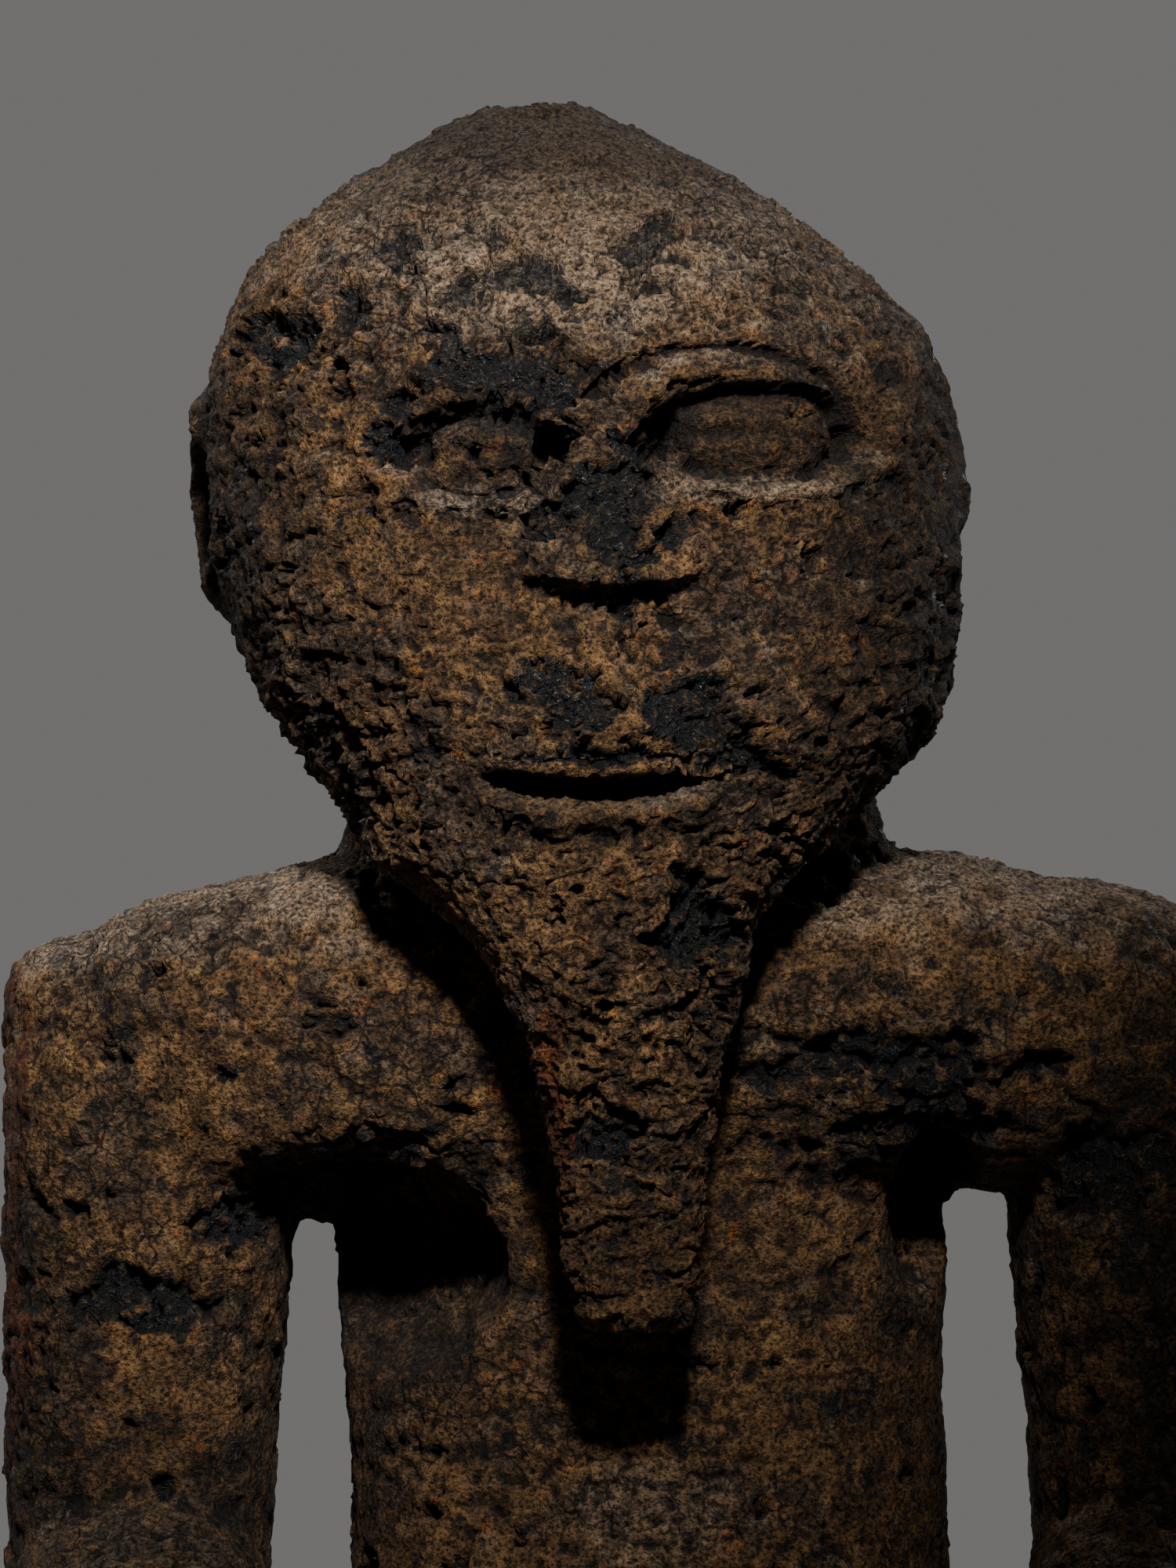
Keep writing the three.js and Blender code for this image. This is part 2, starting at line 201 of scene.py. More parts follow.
# Where the crust has come away over tar: middle across and up, half width, half height
LOST_CRUST = [
    (-29, 540, 17, 9.5), (-53, 526, 5, 10), (-20, 534, 7, 13), (-8, 519, 10, 10), (-7, 505, 15, 12),
    (-21, 470, 11, 7), (12, 468, 11, 8), (-12, 461, 24, 2.5), (-52, 566, 5, 5), (-44, 549, 7, 4),
    (-63, 556, 4, 7), (-27, 562, 6, 4), (10, 424, 9, 11), (14, 414, 7, 8), (-10, 381, 7, 9),
    (-80, 548, 11, 7), (-1, 568, 7, 8), (52, 394, 24, 9), (63, 380, 12, 9), (-88, 362, 9, 10),
    (-112, 344, 11, 8), (-60, 372, 12, 7), (34, 436, 9, 8), (102, 372, 16, 8),
]

# Where the crust is thin and the carving shows clearly: middle across and up, half width, half
# height, how clearly
CALM_PLACES = [
    (20, 530, 36, 20, 0.85), (-36, 523, 18, 11, 0.85), (-7, 503, 20, 16, 0.6),
    (-11, 455, 28, 8, 0.65), (32, 494, 34, 24, 0.5), (-44, 500, 26, 16, 0.4),
    (20, 566, 60, 26, 0.45), (-20, 590, 60, 18, 0.75), (-14, 430, 12, 12, 0.4),
]

# Where it is coarse and lumpy, cracked into plates, or drawn up in blisters, written in the same way
COARSE_PLACES = [
    (-62, 468, 26, 26, 0.8), (-8, 474, 40, 15, 1.0), (30, 452, 26, 20, 0.7),
    (-6, 400, 28, 62, 0.75), (58, 474, 22, 34, 0.8),
]
PLATE_PLACES = [
    (-34, 557, 30, 17, 1.0), (-68, 548, 18, 14, 0.7), (-66, 462, 22, 20, 0.8),
    (-40, 440, 20, 16, 0.6),
]
BLISTER_PLACES = [
    (-86, 522, 24, 38, 1.0), (-84, 478, 18, 24, 0.6),
]

# Where a thin dark film lies on the crust, and where shade is painted on it: the right side of the
# head, the arms, the armpits and the crown, written in the same way
DARK_FILM_AND_SHADE = [
    (24, 529, 32, 15, 0.88), (68, 540, 22, 34, 0.5), (-36, 529, 22, 16, 0.7),
    (-6, 512, 13, 24, 0.5), (74, 505, 42, 66, 1.0), (42, 560, 24, 22, 0.3), (-34, 353, 10, 13, 0.8),
    (66, 462, 40, 28, 0.9), (-101, 503, 30, 72, 0.75), (-60, 468, 22, 18, 0.35),
    (18, 420, 15, 30, 0.4), (-22, 385, 10, 40, 0.3), (-46, 498, 30, 18, 0.3),
    (-10, 448, 28, 7, 0.55), (-34, 521, 14, 8, 0.6), (-108, 300, 34, 22, 0.6),
    (72, 378, 40, 18, 0.45), (128, 350, 44, 96, 0.9), (-134, 330, 22, 60, 0.5),
    (-70, 360, 16, 30, 0.6), (-54, 334, 22, 15, 1.0), (-28, 524, 8, 7, 0.9), (60, 300, 20, 60, 0.5),
    (-62, 320, 16, 60, 0.5), (0, 352, 26, 20, 0.4), (-15, 598, 60, 18, 0.6),
]

# Where pale dust lies thick, and where it is laid on the forehead and on the shelves under the eyes as
# a painted highlight, written in the same way
PALE_DUST_AND_HIGHLIGHT = [
    (22, 516.5, 27, 3.6, 1.0), (-34, 514, 16, 3.2, 0.8), (-22, 563, 46, 18, 0.85),
    (34, 558, 24, 14, 0.2), (2, 299, 22, 12, 0.5),
]

# Widths of the crust's features, and how far its lowest level lies inside the bare carving
RAGGED_WIDTH = 9
PLATE_WIDTH = 8.0
LUMP_WIDTH = 8
TIER_HEIGHT = 6.5
FACET_WIDTH = 5.5
BLISTER_WIDTH = 5.2
CHIP_WIDTH = 3.6
KNOB_WIDTH = 2.9
BEAD_WIDTH = 1.7
GRIT_WIDTH = 1.6
CRUST_SUNK = 1.1

# Long cracks in the crust of the shoulders: depth, half width, and places across and up
CRACKS = [
    (3.4, 1.1, [(19, 403), (36, 398), (48, 394), (60, 397), (74, 393), (84, 396)]),
    (2.2, 0.8, [(84, 396), (93, 386), (98, 381)]),
    (1.0, 0.6, [(66, 436), (76, 418), (81, 406)]),
    (1.8, 0.9, [(-91, 408), (-82, 398), (-69, 395), (-58, 386)]),
    (1.2, 0.7, [(-58, 386), (-48, 383)]),
    (1.4, 0.8, [(98, 381), (104, 372), (108, 362)]),
    (1.6, 0.8, [(-47, 352), (-41, 344), (-39, 334)]),
    (1.6, 0.8, [(-60, 333), (-52, 322), (-46, 316)]),
]

# Rings of the head and points in a ring, how much closer they are at the face than at its back, the
# rings that close each of its ends, and the rounds of smoothing where forms join
HEAD_GRID = (760, 600)
FACE_CROWDING = 0.45
END_RINGS = 14
JOIN_ROUNDS = 14

# The stage, in metres and watts. Lamps: name, kind, power, place, what they are turned to, settings
FLOOR_RADIUS = 1.7
FLOOR_SIDES = 96
BACKDROP = "#71706f"
BOUNCE = 0.11
LAMPS = [
    ("key", "SPOT", 230.0, (0.04, -1.1, 1.28), (-0.08, -0.06, 0.54),
     {"shadow_soft_size": 0.08, "spot_size": math.radians(22), "spot_blend": 1.0}),
    ("back_right", "AREA", 14.0, (0.95, 1.0, 1.2), (-0.01, 0, 0.42), {"shape": "DISK", "size": 0.7}),
    ("back_left", "AREA", 14.0, (-0.95, 1.0, 1.2), (-0.01, 0, 0.42), {"shape": "DISK", "size": 0.7}),
]
SENSOR = 36.0
CAMERA_DISTANCE = 1.6
CAMERA_RISE = 0.045
CAMERA_AIM = (-0.01275, 0, 0.453)
VIEW_HEIGHT = 0.34


def linear(hex_colour, alpha=1.0):
    """An sRGB hex colour as the linear values that a shader takes."""
    parts = [int(hex_colour[i:i + 2], 16) / 255 for i in (1, 3, 5)]
    turned = [p / 12.92 if p <= 0.04045 else ((p + 0.055) / 1.055) ** 2.4 for p in parts]
    return (*turned, alpha)


def ramp(low, high, value):
    """Runs from 0 at low to 1 at high as 3t^2 - 2t^3."""
    t = np.clip((value - low) / (high - low), 0, 1)
    return t * t * (3 - 2 * t)


# Noise on whole arrays of points, from well-known numbers for mixing bits

PRIMES = (73856093, 19349663, 83492791)
SEED_PRIME = 374761393
MIXING = ((16, 0x7FEB352D), (15, 0x846CA68B), (16, 1))
ALL_BITS = 0xFFFFFFFF


def scattered(cell, seed):
    """A number from 0 to 1 for each cell, by mixing the bits of its three whole numbers."""
    mixed = (cell[0] * PRIMES[0]) ^ (cell[1] * PRIMES[1]) ^ (cell[2] * PRIMES[2])
    mixed = (mixed + seed * SEED_PRIME) & ALL_BITS
    for shift, factor in MIXING:
        mixed = ((mixed ^ (mixed >> shift)) * factor) & ALL_BITS
    return mixed / (ALL_BITS + 1.0)


def waves(points, size, seed, octaves=1, folded=False, gain=0.5):
    """Gradient noise from about -1 to 1: slopes at the corners of a lattice of the given size are
    blended by 6t^5 - 15t^4 + 10t^3, and each further octave is half as large and weaker by gain.
    Folded noise takes the size of each value, which gives rounded lumps with creases between."""
    rows = np.ascontiguousarray(points.T)
    total = np.zeros(len(points))
    strength = 1.0
    for octave in range(octaves):
        place = rows / size * 2 ** octave + seed * 7.31
        corner = np.floor(place).astype(np.int64)
        part = place - corner
        ease = part ** 3 * (part * (part * 6 - 15) + 10)
        shares = (1 - ease, ease)
        layer = np.zeros(len(points))
        for k, j, i in np.ndindex(2, 2, 2):
            cell = (corner[0] + i, corner[1] + j, corner[2] + k)
            turn = scattered(cell, seed + octave) * 2 * math.pi
            tilt = scattered(cell, seed + octave + 57) * 2 - 1
            level = np.sqrt(1 - tilt ** 2)
            slope = level * np.cos(turn) * (part[0] - i) + level * np.sin(turn) * (part[1] - j)
            slope += tilt * (part[2] - k)
            layer += slope * (shares[i][0] * shares[j][1] * shares[k][2])
        total += (np.abs(layer) * 2 - 0.4 if folded else layer) * strength * 1.6
        strength *= gain
    return total


def cell_distances(points, size, seed):
    """Distances to the nearest and the second nearest of points strewn one to a cell, in cell
    widths, and a number from 0 to 1 that belongs to the nearest one."""
    place = np.ascontiguousarray(points.T) / size
    corner = np.floor(place).astype(np.int64)
    near = np.full(len(points), 9.0)
    second = np.full(len(points), 9.0)
    owner = np.zeros(len(points))
    for k, j, i in np.ndindex(3, 3, 3):
        cell = corner + [[i - 1], [j - 1], [k - 1]]
        spot = np.stack([scattered(cell, seed + axis) for axis in range(3)])
        gap = np.sqrt(((cell + spot - place) ** 2).sum(axis=0))
        closer = gap < near
        second = np.where(closer, near, np.minimum(second, gap))
        owner = np.where(closer, spot[0], owner)
        near = np.where(closer, gap, near)
    return near, second, owner


# Surfaces of the carving

def rows_at(rows, places):
    """Rows between rows: each column follows a cubic from row to row, whose slope at a row is the
    harmonic mean of the slopes on both sides of it, so that it never swings past them."""
    rows = np.asarray(rows, dtype=float)
    at = rows[:, 0]
    rise = np.diff(rows, axis=0) / np.diff(at)[:, None]
    slope = np.empty_like(rows)
    slope[0] = rise[0]
    slope[-1] = rise[-1]
    product = rise[:-1] * rise[1:]
    total = rise[:-1] + rise[1:]
    slope[1:-1] = np.where(product > 0, 2 * product / np.where(product > 0, total, 1), 0)
    low = np.clip(np.searchsorted(at, places) - 1, 0, len(at) - 2)
    span = (at[low + 1] - at[low])[..., None]
    t = (places[..., None] - at[low][..., None]) / span
    eased = t * t * (3 - 2 * t)
    swing = t * (1 - t) * ((1 - t) * slope[low] * span - t * slope[low + 1] * span)
    return rows[low] * (1 - eased) + rows[low + 1] * eased + swing


def turns(sides):
    return np.arange(sides) * 2 * math.pi / sides


def bell(*offs):
    return np.exp(-sum(off ** 2 for off in offs))


def bent(wave, squareness):
    return np.sign(wave) * np.abs(wave) ** (2 / squareness)


def spread(low, high, wave, squareness):
    """One direction of a rounded square: middle + half width * wave^(2/n), where the wave is the
    cosine or the sine of an angle."""
    return (low + high) / 2 + (high - low) / 2 * bent(wave, squareness)


def placed(x, y, z):
    return np.stack(np.broadcast_arrays(x, y, z), -1)


def shell(rings):
    """A closed surface through rings of points: neighbouring rings are joined by two triangles for
    each side, and the first and last ring by a fan to their middle."""
    steps, sides = rings.shape[:2]
    points = np.concatenate([rings.reshape(-1, 3), rings[:1].mean(axis=1), rings[-1:].mean(axis=1)])
    ring = np.arange(sides)
    after = (ring + 1) % sides
    start = (np.arange(steps - 1) * sides)[:, None]
    a, b = start + ring, start + after
    c, d = b + sides, a + sides
    sides_faces = np.stack([np.stack([a, b, c], -1), np.stack([a, c, d], -1)]).reshape(-1, 3)
    first = np.stack([after, ring, np.full(sides, steps * sides)], -1)
    end = (steps - 1) * sides
    last = np.stack([end + ring, end + after, np.full(sides, steps * sides + 1)], -1)
    return points, np.concatenate([sides_faces, first, last])


def level_rings(rows, steps, sides):
    """Level rounded squares one above the other, with the sizes taken from the rows."""
    heights = np.linspace(rows[0][0], rows[-1][0], steps)
    _, left, right, front, back, squareness = np.moveaxis(rows_at(rows, heights)[:, :, None], 1, 0)
    angle = turns(sides)
    x = spread(left, right, np.cos(angle), squareness)
    y = spread(front, back, np.sin(angle), squareness)
    return placed(x, y, heights[:, None])


def cross_rings(rows, squareness, steps, sides):
    """Upright rounded squares side by side across the body."""
    places = np.linspace(rows[0][0], rows[-1][0], steps)
    _, bottom, top, front, back = np.moveaxis(rows_at(rows, places)[:, :, None], 1, 0)
    angle = turns(sides)
    y = spread(front, back, np.cos(angle), squareness)
    z = spread(bottom, top, np.sin(angle), squareness)
    return placed(places[:, None], y, z)


def path_rings(rows, squareness, steps, sides, end_round=0.55):
    """Rounded squares square to a path through the rows' middles, their first direction kept level.
    Towards both ends they shrink along a quarter circle."""
    rows = np.asarray(rows, dtype=float)
    gaps = np.sqrt((np.diff(rows[:, :3], axis=0) ** 2).sum(axis=1))
    run = np.concatenate([[0], np.cumsum(gaps)])
    place = np.linspace(0, run[-1], steps)
    smooth = rows_at(np.column_stack([run, rows]), place)[:, 1:]
    along = np.gradient(smooth[:, :3], axis=0)
    along /= np.linalg.norm(along, axis=1, keepdims=True)
    level = np.array([1.0, 0, 0]) - along * along[:, :1]
    level /= np.linalg.norm(level, axis=1, keepdims=True)
    upright = np.cross(along, level)
    reach = end_round * smooth[:, 4]
    near = np.minimum(place, run[-1] - place)
    share = np.sqrt(np.clip(1 - (1 - np.clip(near / reach, 0, 1)) ** 2, 0.05, 1))[:, None, None]
    angle = turns(sides)
    wide = smooth[:, 3, None, None] * bent(np.cos(angle), squareness)[None, :, None] * share
    high = smooth[:, 4, None, None] * bent(np.sin(angle), squareness)[None, :, None] * share
    return smooth[:, None, :3] + wide * level[:, None] + high * upright[:, None]


def mirrored(rows, side):
    return [[side * row[0], *row[1:]] for row in rows]


def front_at(rows, x, height):
    """The front of a level section at a place across it, from the same rounded square."""
    row = rows_at(rows, np.asarray(height, dtype=float))
    left, right, front, back, squareness = np.moveaxis(row, -1, 0)[1:]
    across = np.clip(np.abs(2 * x - left - right) / (right - left), 0, 1)
    return (front + back) / 2 - (back - front) / 2 * (1 - across ** squareness) ** (1 / squareness)


def eye_relief(x, z, eye):
    """A steep-edged hollow with a low shelf below it, and in it an almond-shaped dome that an
    arched fold with a crease below it runs over."""
    wide, high = eye["hollow"]
    across = np.abs((x - eye["x"]) / wide)
    up = (z - eye["z"]) / high
    reach = (across ** 2.2 + np.abs(up) ** 2.2) ** (1 / 2.2)
    hollow = -eye["depth"] * ramp(1.08, eye["edge"], reach)
    wide, high = eye["almond"]
    point = ((x - eye["x"]) / wide) ** 2 + ((z - eye["z"] + eye["drop"]) / high) ** 2
    dome = eye["depth"] * 1.05 * np.clip(1 - point, 0, 1) ** 0.5
    fold_x, fold_z, rise = eye["fold"]
    off = z - fold_z + 0.018 * (x - fold_x) ** 2 - 0.9 * np.sin(x / 4.3)
    fold = rise * (bell(off / 1.7) - bell((off + 3.6) / 1.3))
    fold *= ramp(1.1, 0.7, point)
    shelf = 1.3 * bell((reach - 1.2) / 0.13) * ramp(0, -0.6, up)
    return hollow + dome + fold + shelf


def arc_distance(x, z, middle, half, first, last):
    """Distance in millimetres from an arch of an ellipse, whose angles run from first to last."""
    u = (x - middle[0]) / half[0]
    v = (z - middle[1]) / half[1]
    angle = np.degrees(np.arctan2(v, u))
    off = (np.hypot(u, v) - 1) * min(half)
    beyond = np.maximum(first - angle, angle - last)
    return off, ramp(12, -6, beyond)


def nose_relief(x, z):
    """A wedge that widens and rises downwards, and ends in an overhanging underside."""
    t = np.clip((NOSE["top"] - z) / (NOSE["top"] - NOSE["bottom"]), 0, 1)
    middle = NOSE["top_x"] + (NOSE["bottom_x"] - NOSE["top_x"]) * t
    wide = NOSE["bridge"] + (NOSE["wings"] - NOSE["bridge"]) * t ** 1.4
    side = np.clip(1.15 - ((x - middle) / wide) ** 2, 0, 1) ** 0.75
    curve = 3.6 * ((x - middle) / NOSE["wings"]) ** 2
    under = ramp(-2.8, 0.8, z - NOSE["bottom"] - curve)
    return NOSE["rise"] * (0.2 + 0.8 * t) * side * under * ramp(-0.05, 0.2, t)


def mouth_relief(x, z):
    """A deep slit with raised corners, an upper lip that hangs over it and a lower lip with a
    groove below."""
    across = (x - MOUTH["x"]) / MOUTH["half"]
    line = MOUTH["z"] + MOUTH["lift"] * (2 * across ** 2 - 1)
    open_half = MOUTH["height"] / 2 * np.clip(1 - across ** 4, 0.01, 1) ** 0.5
    slit = -MOUTH["depth"] * ramp(1.3, 0.8, np.abs(z - line) / open_half)
    slit *= ramp(1.05, 0.97, np.abs(across))
    muzzle = ramp(1.0, 0.0, np.hypot((x + 8) / 44, (z - 469) / 21)) * ramp(-1, 1, z - line)
    relief = slit + 4.6 * muzzle
    for rise, up, thick, end in ((1.6, 5.5, 3.2, 1.5), (2.6, -5.6, 3.0, 1.25), (-0.9, -10.2, 1.3, 1.1)):
        relief += rise * bell((z - line - up) / thick) * ramp(end, 0.8, np.abs(across))
    return relief


def face_relief(x, z):
    """Everything carved on the face, as millimetres that it stands out of the bare head."""
    relief = eye_relief(x, z, LEFT_EYE) + eye_relief(x, z, RIGHT_EYE)
    for hole_x, hole_z, size, depth in EYE_HOLES:
        relief -= depth * np.exp(-(((x - hole_x) ** 2 + (z - hole_z) ** 2) / size ** 2) ** 1.5)
    middle, half = (BROW["x"], BROW["z"]), (BROW["width"], BROW["height"])
    off, share = arc_distance(x, z, middle, half, BROW["first"], BROW["last"])
    relief += BROW["rise"] * np.exp(-(off / BROW["thick"]) ** 4) * share
    relief -= BROW["deep"] * bell((off - BROW["groove"]) / BROW["narrow"]) * share
    return relief + nose_relief(x, z) + mouth_relief(x, z)


def ear_relief(y, z, ear):
    """A C-shaped ridge round a shallow hollow, open towards the face."""
    off, share = arc_distance(y, z, (ear["y"], ear["z"]), (ear["width"], ear["height"]), -130, 130)
    inside = ramp(0, -ear["width"] * 0.6, off)
    return ear["rise"] * bell(off / ear["thick"]) * share - 1.6 * inside


def closing(rings, count):
    """Adds rings to both ends that shrink evenly to their middle."""
    share = np.linspace(1, 0, count + 1, endpoint=False)[1:, None, None]
    ends = [ring.mean(axis=0) + (ring - ring.mean(axis=0)) * share for ring in (rings[0], rings[-1])]
    return np.concatenate([ends[0][::-1], rings, ends[1]])


def head_rings(steps, sides):
    """Level rounded squares whose points crowd towards the face, pushed square to their outline by
    the face's and the ears' relief."""
    even = turns(sides)
    angle = even - FACE_CROWDING * np.sin(even) - math.pi / 2
    heights = np.linspace(BEARD_TIP, HEIGHT, steps)
    _, left, right, front, back, n = np.moveaxis(rows_at(HEAD, heights)[:, :, None], 1, 0)
    u = bent(np.cos(angle), n)
    v = bent(np.sin(angle), n)
    x = (left + right) / 2 + (right - left) / 2 * u
    y = (front + back) / 2 + (back - front) / 2 * v
    z = np.broadcast_to(heights[:, None], x.shape)
    out_x = np.sign(u) * np.abs(u) ** (n - 1) / (right - left)
    out_y = np.sign(v) * np.abs(v) ** (n - 1) / (back - front)
    length = np.hypot(out_x, out_y) + 1e-9
    out_x, out_y = out_x / length, out_y / length
    push = face_relief(x, z) * ramp(0.15, 0.6, -out_y)
    for side, ear in EARS.items():
        push += ear_relief(y, z, ear) * ramp(0.2, 0.6, side * out_x)
    push *= ramp(HEIGHT, HEIGHT - 12, z)
    return closing(placed(x + out_x * push, y + out_y * push, z), END_RINGS)


def arm_rings(side, steps=90, sides=90):
    """Level rounded squares that shrink along a quarter circle at the elbow and the shoulder, where
    they grow shallower sooner than they grow narrower."""
    top, inner_low, inner_high = ARMS[side]
    heights = np.linspace(ELBOW, top, steps)[:, None]
    inner = inner_low + (inner_high - inner_low) * (heights - ELBOW) / (top - ELBOW)
    low = 1 - np.clip((heights - ELBOW) / ELBOW_ROUND, 0, 1)
    share = []
    for reach in (SHOULDER_ROUND, SHOULDER_DEPTH_ROUND):
        high = 1 - np.clip((top - heights) / reach, 0, 1)
        share.append(np.maximum(0.3, np.sqrt(1 - np.maximum(low, high) ** 2)))
    angle = turns(sides)
    x = side * (ARM_REACH + inner) / 2 + (ARM_REACH - inner) / 2 * share[0] * bent(np.cos(angle), FULL)
    y = (ARM_FRONT + ARM_BACK) / 2 + (ARM_BACK - ARM_FRONT) / 2 * share[1] * bent(np.sin(angle), FULL)
    return placed(x, y, heights)


def finger_rings(side):
    """Round bars side by side over the belly, thinner towards both ends."""
    across, _, up = PALM[-1][:3]
    lowest = up - FINGER_PITCH * (FINGER_COUNT - 1) / 2
    made = []
    for i in range(FINGER_COUNT):
        t = np.array([0, 0.5, 1])
        x = across + FINGER_LENGTH * (0.3 - t)
        z = lowest + FINGER_PITCH * i - FINGER_DROP * t
        y = front_at(TRUNK, x, z) - 1.0
        radius = FINGER_RADIUS * np.array([0.9, 1, 0.8])
        made.append(path_rings(np.column_stack([side * x, y, z, radius, radius]), 2, 24, 20, 1.0))
    return made


def base_rings():
    """Level rounded squares whose edge is drawn in along a quarter circle."""
    heights = np.linspace(0, BASE_HEIGHT, 40)
    near = np.clip(np.minimum(heights, BASE_HEIGHT - heights) / BASE_EDGE, 0, 1)
    inset = (BASE_EDGE * (1 - np.sqrt(1 - (1 - near) ** 2)) / 2)[:, None]
    angle = turns(160)
    x = (BASE_WIDTH / 2 - inset) * bent(np.cos(angle), ROUND)
    y = BASE_MIDDLE_Y + (BASE_DEPTH / 2 - inset) * bent(np.sin(angle), ROUND)
    return placed(x, y, heights[:, None])


def plainly_carved(rings):
    """The parts that hands can reach behind and below: a groove down the spine, shoulder blades,
    two round buttocks with a cleft between them, and a navel, each a bell added to the depth."""
    x, y, z = np.moveaxis(rings, -1, 0)
    wide = np.abs(x)
    spine = -3.2 * bell(x / 5) * ramp(212, 250, z) * ramp(435, 405, z)
    blades = 3.2 * bell((wide - 38) / 17, (z - 388) / 24)
    seat = 4.5 * bell((wide - 29) / 17, (z - 198) / 19)
    cleft = -6.5 * bell(x / 4) * ramp(224, 206, z)
    navel = -5.0 * bell(x / 6, (z - 272) / 6)
    push = (spine + blades + seat + cleft) * ramp(8, 28, y) + navel * ramp(-20, -40, y)
    return placed(x, y + push, z)


def hollowed(rings):
    """Points inside an armpit's egg move straight away from its middle onto its surface:
    p = m + (p - m) / r, where r < 1 is the distance from the middle m in half sizes."""
    for middle, half in ARMPITS:
        off = rings - np.array(middle)
        reach = np.linalg.norm(off / np.array(half), axis=-1, keepdims=True)
        rings = middle + off / np.clip(reach, 0.05, 1)
    return rings


def trunk_and_arms():
    """Trunk, shoulders, arms and hands, each a closed run of rings that reaches into the others."""
    forms = [hollowed(plainly_carved(level_rings(TRUNK, 220, 220)))]
    forms.append(hollowed(cross_rings(SHOULDERS, FULL, 160, 160)))
    for side in (-1, 1):
        forms.append(arm_rings(side))
        forms.append(path_rings(mirrored(FOREARM, side), ROUND, 70, 70))
        forms.append(path_rings(mirrored(PALM, side), FULL, 40, 50))
        forms.extend(finger_rings(side))
    return forms


def legs_and_base():
    """Legs and feet on the low base, as closed runs of rings."""
    forms = [base_rings()]
    for side in (-1, 1):
        forms.append(path_rings(mirrored(LEG, side), ROUND, 90, 80))
        forms.append(path_rings(mirrored(FOOT, side), FULL, 70, 60))
    return forms


# Meshes as arrays

def mesh_of(name, points, faces):
    """A mesh from an array of points in metres and an array of triangles."""
    mesh = bpy.data.meshes.new(name)
    mesh.vertices.add(len(points))
    mesh.vertices.foreach_set("co", points.astype(np.float32).ravel())
    mesh.loops.add(faces.size)
    mesh.loops.foreach_set("vertex_index", faces.astype(np.int32).ravel())
    mesh.polygons.add(len(faces))
    mesh.polygons.foreach_set("loop_start", np.arange(0, faces.size, faces.shape[1], dtype=np.int32))
    mesh.update(calc_edges=True)
    mesh.validate()
    return mesh


def rows_of(items, key, width, kind=float):
    """One property of all points or edges of a mesh, as an array with a row for each."""
    values = np.empty(len(items) * width, dtype=kind)
    items.foreach_get(key, values)
    return values.reshape(-1, width)


def points_and_normals(mesh):
    return rows_of(mesh.vertices, "co", 3), rows_of(mesh.vertices, "normal", 3)


def edges_of(mesh):
    return rows_of(mesh.edges, "vertices", 2, np.int32)


def set_points(mesh, points):
    mesh.vertices.foreach_set("co", points.astype(np.float32).ravel())
    mesh.update()


def neighbour_mean(values, edges):
    """For each point the mean of its neighbours' values, summed along the edges."""
    count = np.bincount(edges.ravel(), minlength=len(values))
    columns = []
    for column in values.T:
        total = np.bincount(edges[:, 0], column[edges[:, 1]], len(values))
        total += np.bincount(edges[:, 1], column[edges[:, 0]], len(values))
        columns.append(total / np.maximum(count, 1))
    return np.stack(columns, -1)


def blurred(values, edges, rounds):
    for _ in range(rounds):
        values = neighbour_mean(values, edges)
    return values


def with_modifier(piece, kind, **settings):
    """The piece with one modifier applied to its mesh."""
    modifier = piece.modifiers.new(kind.title(), kind)
    for key, value in settings.items():
        setattr(modifier, key, value)
    graph = bpy.context.evaluated_depsgraph_get()
    applied = bpy.data.meshes.new_from_object(piece.evaluated_get(graph))
    piece.modifiers.remove(modifier)
    old = piece.data
    piece.data = applied
    bpy.data.meshes.remove(old)
    return piece


# The crust

def shaken_by(points, amount, seed, octaves):
    """Points moved about by noise of 5 mm, along each axis by its own."""
    return points + amount * np.stack([waves(points, 5, seed + k, octaves) for k in range(3)], -1)


def plate_cells(points, wanted):
    """Cells with shaken edges, only where they are wanted: how near a point is to an edge, and the
    cell's own number from 0 to 1."""
    gap = np.ones(len(points))
    owner = np.full(len(points), 0.5)
    shaken = shaken_by(points[wanted], 1.9, 31, 3)
    _, gap[wanted], owner[wanted] = domes(shaken * [0.8, 0.8, 1.1], PLATE_WIDTH, 51)
    return gap, owner


def crust_lost(points, normals, ragged):
    """How far the crust has come away, from 0 to 1: noise, raised inside the named places and where
    a whole plate has fallen."""
    x, _, z = points.T
    front = ramp(0.0, -0.3, normals[:, 1])
    plates = placed_marks(PLATE_PLACES, x, z, ragged)
    gap, owner = plate_cells(points, plates * front > 0.5)
    fallen = ramp(0.55, 0.9, plates) * np.maximum(owner > 0.82, 0.85 * ramp(0.1, 0.03, gap))
    named = 0.72 * fallen
    for middle_x, middle_z, wide, high in LOST_CRUST:
        reach = np.hypot((x - middle_x) / wide, (z - middle_z) / high)
        named = np.maximum(named, ramp(1.9, 0.0, reach))
    patches = waves(points * [1, 1, 1.3], 14, 3, 5, False, 0.6)
    return ramp(0.47, 0.53, named * front * 0.85 + patches * 0.62 + 0.03)


def placed_marks(places, x, z, ragged):
    """The strongest of some soft-edged ellipses at each point, with noise in their edges."""
    found = np.zeros(len(x))
    for middle_x, middle_z, wide, high, strength in places:
        reach = np.hypot((x - middle_x) / wide, (z - middle_z) / high)
        found = np.maximum(found, strength * ramp(1.25, 0.5, reach + 0.35 * ragged))
    return found


